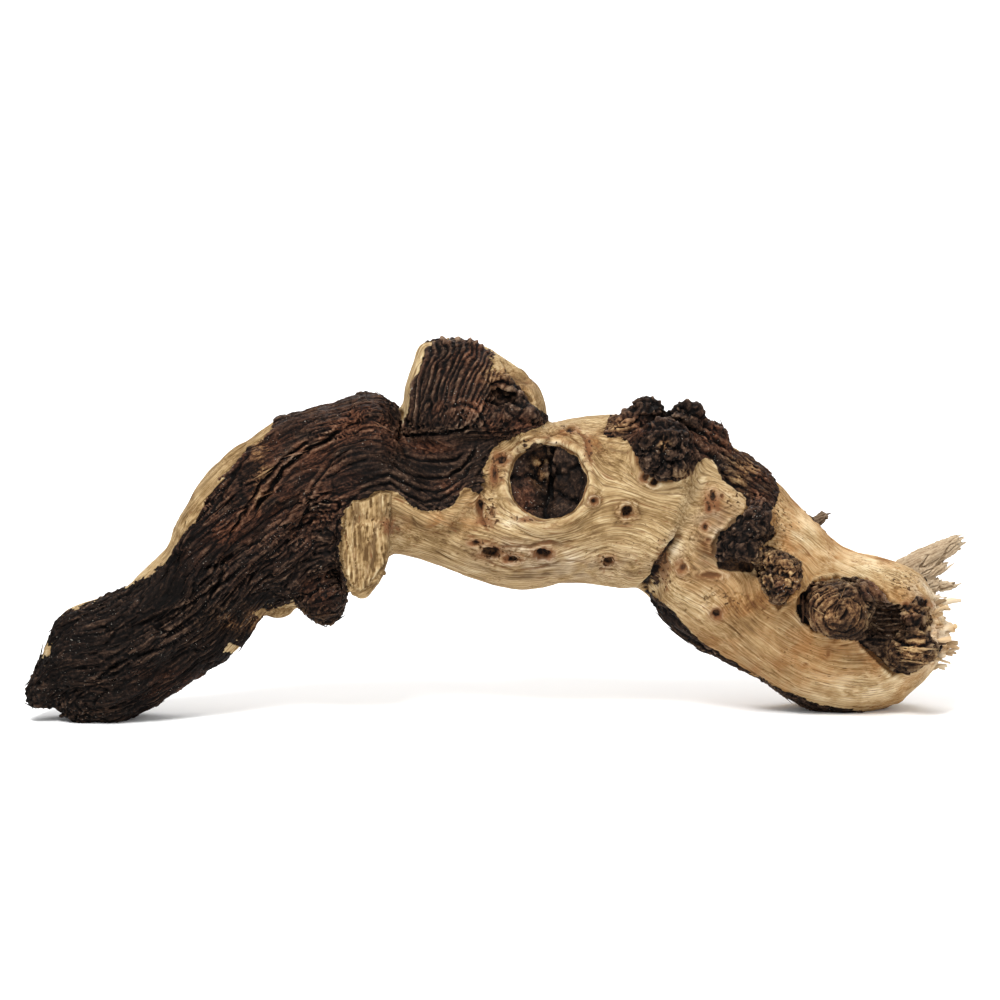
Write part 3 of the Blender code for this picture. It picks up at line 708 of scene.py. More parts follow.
def knotRelief(fact, knot):
    # Lumps with cracks between them inside the knot, and a lip with fine rings around it.
    places, front = fact["places"], fact["front"]
    away = knotReach(fact, knot)
    column = fact["column"] + knot["drift"] * layered(places / 5, 3, 45)
    row = fact["row"] + knot["drift"] * layered(places / 5, 3, 46)
    reach = np.array([np.hypot(column - x, row - y) / size for x, y, size, height in knot["lumps"]])
    order = np.sort(reach, axis=0)
    heights = np.array([height for x, y, size, height in knot["lumps"]])[reach.argmin(axis=0)]
    dome = heights * np.clip(1 - order[0] ** 2, 0, 1) ** 0.7
    split = knot["crack"] * np.exp(-((order[1] - order[0]) / 0.13) ** 2)
    split *= ramp(layered(places / 7, 2, 47), -0.4, 0.2)
    rough = 0.9 * (crests(fact["warped"] / 4.2, 3, 43) - 0.5)
    inside = ramp(0.98 - away, 0.0, 0.10)
    lip = knot["lip"] * (0.8 + 0.6 * fact["wander"]) * np.exp(-((away - 1.15) / 0.11) ** 2)
    lip -= 1.1 * np.exp(-((away - 1.01) / 0.045) ** 2)
    return (inside * (dome - split + rough - knot["hollow"]) + lip) * front


def formRelief(fact, flow):
    # The larger shapes, in millimetres.
    places, heart, front = fact["places"], fact["heart"], fact["front"]
    column, row, wander = fact["column"], fact["row"], fact["wander"]
    push = 0.7 * layered(flow / (34, 12, 12), 3, 1)
    calm = 1 - 0.7 * fact["calm"]
    push += heart * 2.2 * (crests(flow / (52, 9, 9), 2, 2) - 0.55) * calm
    push += knotRelief(fact, largeKnot) + knotRelief(fact, roundKnot)
    lumpy = 0.6 * layered(places / 5.5, 3, 51, 0.6) + crests(fact["warped"] / 9, 2, 52) - 0.6
    for burl in burls.values():
        away = bulge(fact, burl["at"])
        near = ramp(1.15 - away, 0, 0.25) * front * (0.25 + 0.75 * heart)
        push += burl["rough"] * near * lumpy
    push -= blackHollow["depth"] * within(fact, blackHollow["outline"], -1, 4)
    push -= finHollow["depth"] * within(fact, finHollow["outline"], -1, 5)
    for roll in rolls.values():
        away, along = besideLine(column + 1.5 * wander, row + 1.5 * wander, roll["line"])
        ends = ramp(along, 0, 0.12) * ramp(along, 1, 0.88)
        push += roll["height"] * np.exp(-(away / roll["width"]) ** 2) * front * ends
    away, along = besideLine(column + 3 * wander, row, cleft["line"])
    width = cleft["width"] * (1 + 0.7 * layered(places / 9, 2, 55))
    push -= cleft["depth"] * np.exp(-(away / width) ** 2) * front * ramp(along, 0, 0.2)
    push += fact["torn"] * (0.8 + 1.2 * layered(flow / (26, 5, 5), 3, 61))
    edge = fact["edge"]
    push += 0.9 * ramp(edge, -1.5, 1.5) * ramp(edge, 40, 6) * front * (column < raisedUpTo)
    end = ramp(column, *fades["endColumn"]) * ramp(row, *fades["endRow"])
    push += end * (2.0 * (crests(flow / (14, 3.2, 3.2), 3, 56) - 0.5) + 1.4 * layered(places / 3, 2, 57))
    return push


def besideFissure(fact, line):
    wander = fact["wander"]
    return besideLine(fact["column"] + 2.2 * wander, fact["row"] + 1.5 * wander, line["line"])


def fibreRelief(fact, flow):
    # Cracks, torn layers and fibres, in millimetres.
    places, heart, front = fact["places"], fact["heart"], fact["front"]
    calm = 1 - 0.6 * fact["calm"]
    layers = layered(flow / (26, 6.5, 6.5), 3, 71) * 3.2
    dark = 0.8 * (steps(layers) - 0.5)
    dark -= 1.7 * cracks(flow / (40, 5.5, 5.5), 0.06, 72) * ramp(layered(places / 14, 2, 73), -0.15, 0.1)
    dark -= 0.9 * cracks(flow / (17, 2.8, 2.8), 0.08, 74)
    dark += 0.9 * (crests(flow / (16, 1.9, 1.9), 3, 75) - 0.5)
    dark += 0.45 * layered(places / 1.7, 3, 76, 0.6)
    ridged = fact["stub"] * front * ramp(fact["row"], *fades["ridgedRow"])
    ridged *= ramp(fact["column"], *fades["ridgedColumn"])
    dark *= calm * (1 - 0.6 * ridged) * (1 - 0.8 * nearBurl(fact))
    dark *= 0.55 + 0.8 * ramp(layered(flow / (40, 16, 16), 2, 90), -0.35, 0.4)
    ridges = flow[:, 1] * 2 * math.pi / 1.9 + 5 * noise(flow / (30, 6, 6), 87)
    dark += 0.62 * ridged * np.sin(ridges) * (1 + 0.5 * layered(flow / (14, 4, 4), 2, 88))
    pale = -0.24 * (crests(flow / (52, 1.9, 1.9), 2, 77) - 0.5)
    pale *= ramp(layered(places / 20, 2, 78), -0.4, 0.3)
    pale -= 0.5 * cracks(flow / (44, 9, 9), 0.06, 79) * ramp(layered(places / 12, 2, 80), 0.05, 0.25)
    pale += 0.07 * layered(places / 1.3, 2, 81)
    push = heart * dark + (1 - heart) * pale
    for line in fissures.values():
        away, along = besideFissure(fact, line)
        taper = ramp(along, 0, 0.1) * ramp(along, 1, 0.85) * front
        lip = (0.12 + 0.18 * heart) * np.exp(-((away - 2.6 * line["width"]) / line["width"]) ** 2)
        push += line["depth"] * taper * (lip - np.exp(-(away / line["width"]) ** 2))
    splits = flow / (16, 1.4, 1.4)
    push += fact["torn"] * (0.6 * (crests(splits, 3, 82) - 0.5) - 0.8 * cracks(splits / 2.4, 0.05, 83)
                            + 0.25 * layered(places / 1.4, 2, 84))
    push += within(fact, finHollow["outline"], -1, 1) * finHollow["height"] * finWave(fact)
    top, chance = burlPlates(fact)
    plated = ramp(nearBurl(fact), 0.1, 0.9)
    push += (1.5 * (top - 0.7) + 1.6 * (chance - 0.5)) * plated * (0.12 + 0.88 * heart)
    for knot in backKnots.values():
        away = behindKnot(fact, knot) * (1 + 0.35 * fact["wander"])
        push += (0.9 * np.exp(-((away - 1.2) / 0.2) ** 2) - 1.6 * ramp(1.05 - away, 0, 0.35)) * fact["back"]
    push -= 0.35 * spotted(fact, porousSpots, 0.2) * ramp(layered(places / 1.9, 2, 86), 0.0, 0.3)
    return push


porousSpots = {
    "besideKnot": (487, 505, 10, 22), "knotSide": (497, 470, 9, 22), "collarTop": (735, 500, 10, 10),
    "ridgeSide": (780, 525, 10, 28), "endPores": (903, 585, 18, 14), "chain": (500, 553, 24, 8),
    "cleft": (655, 576, 7, 16), "lowEye": (730, 600, 30, 10),
}


def pitRelief(fact):
    # The pits, in millimetres; also how deep in a pit each point is, and how near one.
    places, front = fact["places"], fact["front"]
    uneven = 1 + 0.30 * layered(places / 3.2, 2, 92) + 0.30 * layered(places / 1.5, 2, 91)
    push, depth, halo = np.zeros(len(front)), np.zeros(len(front)), np.zeros(len(front))
    for pit in pits.values():
        away = bulge(fact, pit["at"]) * uneven
        bowl = ramp(1.1 - away, 0, 0.7)
        push += (pit["lip"] * np.exp(-((away - 1.45) / 0.32) ** 2) - pit["depth"] * bowl) * front
        depth = np.maximum(depth, bowl * front * min(1, 0.6 * pit["depth"]))
        around = np.exp(-(np.maximum(away - 0.9, 0) / 0.8) ** 2)
        halo = np.maximum(halo, around * front * min(1, pit["depth"]))
    return push, depth, halo


# Where the colours change: column, row and two radii in pixels

stains = {
    "belowTwig": (838, 555, 36, 12), "belowBurls": (760, 605, 44, 24), "besideRidge": (793, 525, 16, 38),
    "orangePit": (714, 500, 12, 15), "underEnd": (880, 662, 34, 20), "underFold": (470, 506, 13, 17),
    "knotLip": (560, 433, 22, 8), "endTan": (920, 642, 22, 18), "underBand": (440, 520, 50, 12),
    "collar": (714, 540, 18, 30), "rightFace": (800, 648, 90, 40), "besideKnot": (500, 458, 9, 8),
    "redStreak": (494, 474, 6, 13), "upperArm": (880, 560, 30, 8), "ridgeStart": (600, 440, 12, 12),
    "edgeLow": (700, 570, 22, 18), "stubLumps": (520, 385, 16, 16),
}
embers = {
    "shoulder": (360, 428, 46, 24), "face": (318, 470, 36, 52), "stub": (462, 404, 36, 14),
    "crotch": (512, 425, 30, 12), "foldFace": (425, 447, 30, 8), "edge": (225, 520, 36, 44),
    "ridge": (625, 428, 26, 14), "knot": (524, 500, 10, 20), "footBelow": (175, 685, 36, 14),
    "leaf": (872, 592, 18, 9), "end": (914, 612, 10, 10), "lastBand": (450, 487, 18, 7),
    "stubFace": (470, 370, 40, 30), "lobe": (318, 590, 16, 18), "ridgeRight": (760, 486, 12, 26),
    "ridgeLong": (722, 440, 30, 22), "broad": (818, 610, 16, 26), "peg": (786, 586, 16, 16),
    "middle": (272, 500, 60, 44), "upperEdge": (262, 452, 30, 26),
}
barks = {
    "peg": (779, 574, 22, 28), "broad": (836, 609, 28, 24), "endLow": (912, 655, 26, 14),
    "endTop": (918, 614, 14, 12), "ridgeMiddle": (744, 474, 18, 15), "ridgeStart": (616, 428, 12, 9),
    # The paler spot at the round knot's middle, at (663, 446), is a painted highlight.
    "roundKnotLow": (684, 474, 9, 7), "stubRight": (500, 372, 14, 12), "roundKnotPaintedGlint": (663, 446, 6, 6),
    "endMiddle": (920, 640, 22, 18), "knotColumn": (540, 466, 7, 15), "lowEdge": (262, 622, 44, 12),
    "shoulderEdge": (258, 462, 8, 30), "broadRight": (854, 616, 13, 16), "endRight": (926, 652, 14, 10),
    "cleft": (662, 562, 12, 26), "pegEye": (768, 584, 8, 8),
}
greys = {
    "end": (940, 630, 24, 66), "endCorner": (925, 590, 16, 16), "besideFold": (394, 527, 9, 10),
    "collar": (716, 530, 24, 40), "cleft": (676, 545, 9, 16), "chain": (520, 548, 44, 12),
    "trunkLow": (560, 565, 90, 16),
}
# Darker patches: painted shade under the folds, the bands, the burls and the round knot, in the collar and
# low on the trunk; the other spots are darker wood.
paintedShadeAndDarkerWood = {
    "underFold": (430, 536, 52, 24), "trunkLow": (530, 574, 90, 12), "collar": (708, 540, 20, 40),
    "besideBurls": (770, 604, 40, 14), "chain": (505, 553, 46, 16), "arch": (640, 572, 30, 14),
    "leftStrip": (185, 520, 30, 60), "upperStrip": (240, 450, 30, 30), "knotSide": (492, 490, 12, 44),
    "overKnot": (540, 436, 30, 7), "crest": (590, 440, 30, 14), "stubLumps": (520, 385, 26, 24),
    "rightMiddle": (740, 625, 50, 22), "kneeUnder": (385, 560, 12, 26), "bandUnder": (670, 600, 30, 14),
    "tornBase": (366, 545, 60, 90), "cleftBurls": (742, 534, 28, 36), "folds": (440, 486, 50, 20),
    "underRound": (668, 484, 22, 6), "crestBurls": (680, 430, 60, 36), "bigKnot": (548, 482, 36, 36),
    "peg": (786, 584, 20, 24), "trunkMiddle": (600, 520, 50, 24), "lowEdge": (262, 612, 60, 30),
    "footBits": (55, 640, 16, 50), "broadLeft": (808, 602, 9, 22), "ridge": (748, 466, 24, 30),
    "trunkUpper": (605, 455, 30, 26),
}
# Lighter patches: painted highlights on the large knot's lip and along the top of the right arm; the other
# spots are paler wood.
lights = {
    "knotTop": (553, 443, 14, 5), "knotLeft": (512, 520, 20, 9), "upperArm": (868, 562, 50, 14),
    "ridgeSide": (808, 520, 14, 26), "lowArm": (860, 690, 70, 14), "end": (940, 630, 18, 70),
    "armTop": (840, 552, 40, 8), "lowLeft": (694, 606, 22, 14),
}
dashed = {
    "upperArm": (875, 574, 50, 14), "ridgeSide": (795, 535, 14, 26), "rightFace": (800, 655, 70, 34),
    "trunk": (620, 540, 50, 30), "leftStrip": (205, 490, 50, 70), "underFold": (440, 540, 50, 20),
}
creams = {
    "upperArm": (880, 572, 50, 16), "lowArm": (850, 688, 80, 16), "lowLeft": (692, 604, 24, 18),
    "bendTop": (800, 540, 14, 18), "middle": (735, 640, 26, 16),
}
warmedFrom = (309, 354)   # millimetres along the limb, where the orange tone sets in and is full


def knotRings(fact):
    # Brown lines around the knots, and in the cracks of the pale wood.
    total = np.zeros(len(fact["s"]))
    for line in fissures.values():
        if "tint" in line:
            away = besideFissure(fact, line)[0]
            total = np.maximum(total, line["tint"] * np.exp(-(away / line["width"]) ** 2))
    for knot in (largeKnot, roundKnot):
        away = knotReach(fact, knot) + 0.04 * fact["wander"]
        total += 0.9 * np.exp(-((away - 1.04) / 0.035) ** 2) + 0.5 * np.exp(-((away - 1.20) / 0.03) ** 2)
    return np.clip(total * (0.7 + fact["wander"]), 0, 1) * fact["front"]


def blotches(fact, spots, seed):
    total = np.zeros(len(fact["s"]))
    for spot in spots.values():
        total = np.maximum(total, np.exp(-(bulge(fact, spot) / 0.95) ** 2))
    return total * ramp(layered(fact["places"] / 7, 3, seed), -0.5, 0.3) * fact["ahead"]


def addValues(mesh, name, values):
    if values.ndim == 2:
        layer = mesh.attributes.new(name, "FLOAT_VECTOR", "POINT")
        layer.data.foreach_set("vector", values.astype(np.float32).ravel())
    else:
        layer = mesh.attributes.new(name, "FLOAT", "POINT")
        layer.data.foreach_set("value", values.astype(np.float32))


def sculptedSkin():
    mesh = closedSkin(skin["nodes"], skin)
    links = linksOf(mesh)
    print("skin", len(mesh.vertices), "points")
    fact = facts(mesh)
    flow = grainFlow(fact)
    aim = grainAim(fact, flow, links)
    start = fact["points"]
    forms = formRelief(fact, flow)
    setPoints(mesh, start + fact["normals"] * forms[:, None] * mm)
    print("forms done")
    middle, normals = pointsOf(mesh), pointsOf(mesh, "normal")
    fine = fibreRelief(fact, flow)
    hollowed, pit, halo = pitRelief(fact)
    fine += hollowed
    setPoints(mesh, standing(middle + normals * fine[:, None] * mm))
    print("fibres and pits done")
    front, heart = fact["front"], fact["heart"]
    for knot in (largeKnot, roundKnot):
        away = knotReach(fact, knot)
        heart = np.maximum(heart, ramp(1.0 - away, 0, 0.05) * front)
    heart = np.maximum(heart, spotted(fact, notches, 0.30))
    browned = spotted(fact, brownSpots, 0.45)
    halo = np.maximum(halo, np.maximum(0.9 * browned, 0.7 * fact["rim"]))
    for knot in backKnots.values():
        away = behindKnot(fact, knot) * (1 + 0.35 * fact["wander"])
        heart = np.maximum(heart, ramp(1.0 - away, 0, 0.12) * fact["back"])
        halo = np.maximum(halo, 0.8 * np.exp(-((away - 1.08) / 0.12) ** 2) * fact["back"])
    # Along the cleft the dark wood is painted in, wider downwards: partly painted shade in the groove,
    # partly dark wood.
    away, along = besideLine(fact["column"] + 3 * fact["wander"], fact["row"], cleft["line"])
    darkened = 0.7 * np.exp(-(away / (1.6 + 3.0 * along)) ** 2)
    heart = np.maximum(heart, darkened * front * ramp(along, 0.0, 0.3))
    # Into the pit colour, near-black, go the pits, the black hollow, the troughs between the fins and the
    # deepest hollows of the forms: painted shade in them.
    finned = within(fact, finHollow["outline"], -2, 2)
    holes = within(fact, blackHollow["outline"], -2, 2)
    holes = np.maximum(holes, finned * (0.55 - 0.45 * finWave(fact)))
    deepShadow = np.clip(-forms - 3.6, 0, 1) * 0.5
    # Below 0 in the relief's hollows, above 0 on its ridges. In the colours it darkens the hollows, a
    # painted shade, and lightens the ridges, as wear and as painted highlight.
    cavity = fine - evened(fine, links, 8) + 0.5 * (forms - evened(forms, links, 24))
    cavity = np.where(cavity > 0, 0.6 * cavity, cavity)
    ragged, burl = raggedness(fact), nearBurl(fact)
    fibrous = heart * (1 - fact["calm"]) * (1 - burl) * ramp(-cavity, 0.3, -0.3)
    fibrous *= ramp(fact["edge"], 1, 5) * (1 - fact["stub"]) * ramp(ragged, 0.1, 0)
    warm = ramp(fact["s"], *warmedFrom)
    warm *= 1 - 0.85 * blotches(fact, creams, 110)
    values = {
        "flow": flow, "aim": aim, "outward": outwardAim(fact, aim),
        "heart": heart, "cavity": cavity, "calm": fact["calm"], "ragged": ragged, "fibrous": fibrous,
        "pit": np.maximum(pit, np.maximum(holes, deepShadow)), "halo": np.maximum(halo, knotRings(fact)),
        "burl": burl, "plate": (burlPlates(fact)[1] - 0.5) * burl,
        "stain": blotches(fact, stains, 101), "ember": blotches(fact, embers, 102),
        "bark": blotches(fact, barks, 103), "grey": blotches(fact, greys, 104),
        "drift": 1.3 * noise(flow / (70, 16, 16), 105) + 0.35 * noise(flow / (20, 6, 6), 106),
        # Painted shade from the darker patches less the painted highlights of the lighter ones, with the
        # darker and paler wood among them.
        "paintedShadingAndTone": blotches(fact, paintedShadeAndDarkerWood, 107) - 1.7 * blotches(fact, lights, 108),
        "pores": np.maximum(blotches(fact, porousSpots, 109), browned),
        "dashes": blotches(fact, dashed, 111), "deepened": ramp(fact["s"], 190, 60), "warm": warm,
    }
    for name, value in values.items():
        addValues(mesh, name, value)
    return mesh


# Where splinters stand out, and which way they point there

raggedSpots = {
    "end": {"at": (946, 640, 16, 62), "way": (1.0, -0.1, -0.05), "share": 1.0},
    "tornLow": {"at": (377, 575, 16, 14), "way": (0.25, -0.15, -1.0), "share": 0.5},
    "tornRight": {"at": (391, 530, 4, 30), "way": (0.5, -0.2, -1.0), "share": 0.3},
    "stubTop": {"at": (455, 340, 30, 8), "way": (0.25, 0.0, 1.0), "share": 0.8},
    "foot": {"at": (66, 708, 26, 10), "way": (-0.8, -0.1, -0.3), "share": 0.5},
    "crest": {"at": (690, 412, 60, 14), "way": (0.5, -0.1, 0.6), "share": 0.8},
    "endLow": {"at": (938, 652, 8, 12), "way": (1.0, -0.3, 0.1), "share": 0.7},
}


def raggedness(fact):
    total = np.zeros(len(fact["s"]))
    for spot in raggedSpots.values():
        near = ramp(1.1 - bulge(fact, spot["at"]), 0, 0.3)
        total = np.maximum(total, spot["share"] * near)
    return total


def outwardAim(fact, aim):
    aim = aim.copy()
    for spot in raggedSpots.values():
        near = ramp(1.3 - bulge(fact, spot["at"]), 0, 0.3)[:, None]
        aim = aim * (1 - near) + np.array(spot["way"]) * near
    aim += 0.35 * fact["normals"]
    return aim / np.linalg.norm(aim, axis=1)[:, None]


# The cuts at the forks, as part.py has them: from (x, z) to (x, z), in millimetres

forks = {
    "left": ((-44.6, 131), (-43.6, 60)),
    "stub": ((-42, 118.5), (18.5, 131)),
    "right": ((95, 131), (63.5, 50)),
}


def halves(bm, fork):
    (ax, az), (bx, bz) = forks[fork]
    start, across = Vector((ax, 0, az)) * mm, Vector((az - bz, 0, bx - ax)).normalized()
    other = bm.copy()
    for side, aim in ((bm, across), (other, -across)):
        cut = bmesh.ops.bisect_plane(side, geom=[*side.verts, *side.edges, *side.faces], plane_co=start,
                                     plane_no=aim, clear_outer=True, dist=1e-7)
        rim = [e for e in cut["geom_cut"] if isinstance(e, bmesh.types.BMEdge)]
        made = bmesh.ops.holes_fill(side, edges=rim, sides=0)
        bmesh.ops.triangulate(side, faces=made["faces"])
        for edge in rim:
            if edge.is_valid:
                edge.smooth = False
    return bm, other


def woodPieces(mesh):
    bm = bmesh.new()
    bm.from_mesh(mesh)
    left, rest = halves(bm, "left")
    rest, stub = halves(rest, "stub")
    trunk, right = halves(rest, "right")
    made = {}
    for node, piece in (("left_limb", left), ("upper_stub", stub), ("trunk", trunk), ("right_limb", right)):
        for face in piece.faces:
            face.smooth = True
        cut = bpy.data.meshes.new(node + "Wood")
        piece.to_mesh(cut)
        piece.free()
        made[node] = newObject(node + "Wood", cut)
    return made


# Materials

class Nodes:
    # A short way to add nodes to a tree and join them.
    def __init__(self, tree):
        self.tree = tree

    def add(self, kind, values=None, **settings):
        node = self.tree.nodes.new(kind)
        for name, value in settings.items():
            setattr(node, name, value)
        for name, value in (values or {}).items():
            if isinstance(value, bpy.types.NodeSocket):
                self.tree.links.new(value, node.inputs[name])
            else:
                node.inputs[name].default_value = value
        return node

    def attribute(self, name, vector=False):
        node = self.add("ShaderNodeAttribute", attribute_name=name)
        return node.outputs["Vector" if vector else "Fac"]

    def maths(self, operation, a, b=0.0, clamp=False):
        return self.add("ShaderNodeMath", {0: a, 1: b}, operation=operation, use_clamp=clamp).outputs[0]

    def times(self, a, b, clamp=False):
        return self.maths("MULTIPLY", a, b, clamp)

    def plus(self, a, b):
        return self.maths("ADD", a, b)

    def scaled(self, vector, by):
        return self.add("ShaderNodeVectorMath", {0: vector, 1: by}, operation="MULTIPLY").outputs[0]

    def summed(self, *parts):
        # Each part is a value and its share.
        total = None
        for value, share in parts:
            term = self.times(value, share)
            total = term if total is None else self.plus(total, term)
        return total

    def noise(self, vector, scale=1.0, detail=3.0, roughness=0.55, distortion=0.0):
        values = {"Vector": vector, "Scale": scale, "Detail": detail, "Roughness": roughness,
                  "Distortion": distortion}
        return self.add("ShaderNodeTexNoise", values).outputs["Fac"]

    def range(self, value, low, high, toLow=0.0, toHigh=1.0):
        return self.add("ShaderNodeMapRange", {"Value": value, "From Min": low, "From Max": high,
                                               "To Min": toLow, "To Max": toHigh},
                        interpolation_type="SMOOTHSTEP").outputs[0]

    def colours(self, value, *stops):
        node = self.add("ShaderNodeValToRGB", {"Fac": value})
        ramp = node.color_ramp
        ramp.elements[0].position, ramp.elements[0].color = stops[0][0], (*stops[0][1], 1)
        ramp.elements[1].position, ramp.elements[1].color = stops[-1][0], (*stops[-1][1], 1)
        for place, colour in stops[1:-1]:
            ramp.elements.new(place).color = (*colour, 1)
        return node.outputs["Color"]

    def mixed(self, share, a, b, blend="MIX"):
        node = self.add("ShaderNodeMix", data_type="RGBA", blend_type=blend)
        for index, value in ((0, share), (6, a), (7, b)):
            if isinstance(value, bpy.types.NodeSocket):
                self.tree.links.new(value, node.inputs[index])
            else:
                node.inputs[index].default_value = (*value, 1) if index else value
        return node.outputs[2]

    def bumped(self, height, strength, distance):
        values = {"Height": height, "Strength": strength, "Distance": distance}
        return self.add("ShaderNodeBump", values).outputs[0]

    def finish(self, values):
        shader = self.add("ShaderNodeBsdfPrincipled", values)
        self.add("ShaderNodeOutputMaterial", {0: shader.outputs[0]})


def emptyMaterial(name):
    material = bpy.data.materials.new(name)
    material.use_nodes = True
    material.node_tree.nodes.clear()
    return material, Nodes(material.node_tree)


woodLook = {
    "saps": [(0.33, (0.10, 0.056, 0.022)), (0.42, (0.24, 0.152, 0.066)), (0.50, (0.365, 0.255, 0.127)),
             (0.58, (0.49, 0.375, 0.21)), (0.70, (0.66, 0.55, 0.37))],
    "hearts": [(0.36, (0.001, 0.0006, 0.0004)), (0.45, (0.004, 0.0023, 0.0016)),
               (0.53, (0.018, 0.0100, 0.0066)), (0.62, (0.062, 0.036, 0.023)), (0.76, (0.22, 0.15, 0.10))],
    "embers": [(0.38, (0.0025, 0.0012, 0.0008)), (0.47, (0.021, 0.0080, 0.0045)),
               (0.56, (0.085, 0.033, 0.017)), (0.72, (0.27, 0.14, 0.08))],
    "barks": [(0.38, (0.005, 0.0025, 0.0014)), (0.46, (0.052, 0.023, 0.011)), (0.54, (0.20, 0.105, 0.046)),
              (0.66, (0.50, 0.34, 0.16))],
    "warms": [(0.33, (0.12, 0.052, 0.017)), (0.44, (0.25, 0.125, 0.043)), (0.54, (0.37, 0.215, 0.088)),
              (0.70, (0.58, 0.40, 0.21))],
    "greys": [(0.33, (0.14, 0.095, 0.056)), (0.50, (0.42, 0.33, 0.22)), (0.66, (0.70, 0.60, 0.46))],
    "stains": [(0.34, (0.075, 0.028, 0.009)), (0.46, (0.20, 0.085, 0.026)), (0.56, (0.33, 0.16, 0.058)),
               (0.70, (0.50, 0.30, 0.13))],
    "halo": (0.16, 0.065, 0.028),
    "line": (0.15, 0.09, 0.042),
    # near-black for the pits and hollows: painted shade
    "hollow": (0.008, 0.005, 0.004),
    "pore": (0.06, 0.03, 0.014),
    "glint": (0.42, 0.38, 0.32),
    "grainLines": 116,      # around the limb
    "specular": 0.07,
}


def woodMaterial(name, look):
    material, n = emptyMaterial(name)
    place = n.add("ShaderNodeTexCoord").outputs["Object"]
    flow = n.attribute("flow", True)
    cavity, pit = n.attribute("cavity"), n.attribute("pit")
    grain = n.noise(n.scaled(flow, (0.035, 0.75, 0.75)), detail=5, roughness=0.65)
    fine = n.noise(n.scaled(flow, (0.10, 2.6, 2.6)), detail=3, roughness=0.6)
    broad = n.noise(n.scaled(flow, (0.018, 0.10, 0.10)), detail=2)
    crumb = n.noise(place, scale=480, detail=4, roughness=0.7, distortion=0.5)
    onBurl = n.times(n.attribute("burl"), 0.6)
    grain = n.plus(grain, n.times(n.maths("SUBTRACT", crumb, grain), onBurl))
    streak = n.noise(n.scaled(flow, (0.06, 0.9, 0.9)), scale=1.0, detail=2, distortion=0.3)
    speck = n.noise(place, scale=900, detail=3, roughness=0.7)
    patch = n.noise(place, scale=70, detail=4)

    # Growth lines: around the limb at even steps, drifting, and coming and going
    parts = n.add("ShaderNodeSeparateXYZ", {0: flow})
    turn = n.maths("ARCTAN2", parts.outputs[1], n.times(parts.outputs[2], -1.0))
    phase = n.plus(n.times(turn, look["grainLines"] / (2 * math.pi)), n.attribute("drift"))
    wave = n.maths("SINE", n.times(n.plus(phase, n.times(grain, 1.2)), 2 * math.pi))
    ringShare = n.range(n.noise(n.scaled(flow, (0.03, 0.30, 0.30)), detail=3), 0.36, 0.56, 0.15, 1.0)
    ringShare = n.times(ringShare, n.range(n.attribute("warm"), 0, 1, 1.0, 0.5))
    rings = n.times(n.range(wave, 0.55, 1.0), ringShare)

    level = n.summed((grain, 0.46), (broad, 0.22), (fine, 0.32))
    # Hollows darker and ridges lighter: painted shade, and wear with painted highlight on the ridges.
    level = n.plus(level, n.times(cavity, 0.45))
    # The painted shade and painted highlights of the patches, and their darker and paler wood, shift the
    # pale wood's colour.
    level = n.plus(level, n.times(n.attribute("paintedShadingAndTone"), -0.12))
    sap = n.colours(level, *look["saps"])
    warmth = n.range(n.noise(place, scale=34, detail=3, roughness=0.5), 0.38, 0.58, 0.35, 0.95)
    sap = n.mixed(n.times(warmth, n.attribute("warm")), sap, n.colours(level, *look["warms"]))
    sap = n.mixed(n.times(n.attribute("grey"), 0.8), sap, n.colours(level, *look["greys"]))
    stained = n.mixed(0.8, sap, n.colours(level, *look["stains"]))
    stain = n.times(n.attribute("stain"), 1.5, clamp=True)
    sap = n.mixed(n.times(stain, n.range(patch, 0.35, 0.58, 0.25, 1.0)), sap, stained)
    sap = n.mixed(n.times(rings, 0.85), sap, look["line"])
    sap = n.mixed(n.times(n.range(streak, 0.62, 0.72), 0.75), sap, look["halo"])
    haloShare = n.times(n.attribute("halo"), n.range(patch, 0.3, 0.6, 0.35, 0.9))
    sap = n.mixed(haloShare, sap, look["halo"])
    holes = n.range(n.noise(place, scale=620, detail=1), 0.56, 0.64)
    sap = n.mixed(n.times(holes, n.range(n.attribute("pores"), 0.1, 0.6)), sap, look["pore"])
    dashes = n.range(n.noise(n.scaled(flow, (0.42, 1.5, 1.5)), detail=1), 0.67, 0.72)
    sap = n.mixed(n.times(dashes, n.range(n.attribute("dashes"), 0.1, 0.6)), sap, look["pore"])

    tone = n.summed((grain, 0.42), (speck, 0.30), (patch, 0.16), (fine, 0.12))
    # Hollows darker and ridges lighter: painted shade, and wear with painted highlight on the ridges.
    tone = n.plus(tone, n.times(cavity, 0.28))
    tone = n.plus(tone, n.times(n.attribute("plate"), 0.14))
    # The same painted shade and highlights shift the dark wood's colour.
    tone = n.plus(tone, n.times(n.attribute("paintedShadingAndTone"), -0.045))
    tone = n.plus(tone, n.range(n.attribute("deepened"), 0, 1, 0.006, -0.045))
    dark = n.colours(tone, *look["hearts"])
    emberShare = n.times(n.attribute("ember"), 1.5, clamp=True)
    emberShare = n.times(emberShare, n.range(broad, 0.35, 0.6, 0.4, 1.0))
    dark = n.mixed(emberShare, dark, n.colours(tone, *look["embers"]))
    bark = n.times(n.attribute("bark"), 1.35, clamp=True)
    bark = n.times(bark, n.range(patch, 0.32, 0.52, 0.35, 1.0))
    dark = n.mixed(bark, dark, n.colours(tone, *look["barks"]))
    glints = n.range(n.noise(place, scale=1500, detail=1), 0.72, 0.76)
    dark = n.mixed(n.times(glints, n.range(patch, 0.45, 0.6, 0.0, 0.8)), dark, look["glint"])

    frayed = n.summed((n.attribute("heart"), 1.0), (speck, 0.5), (grain, 0.5))
    share = n.range(frayed, 0.85, 1.12)
    colour = n.mixed(share, sap, dark)
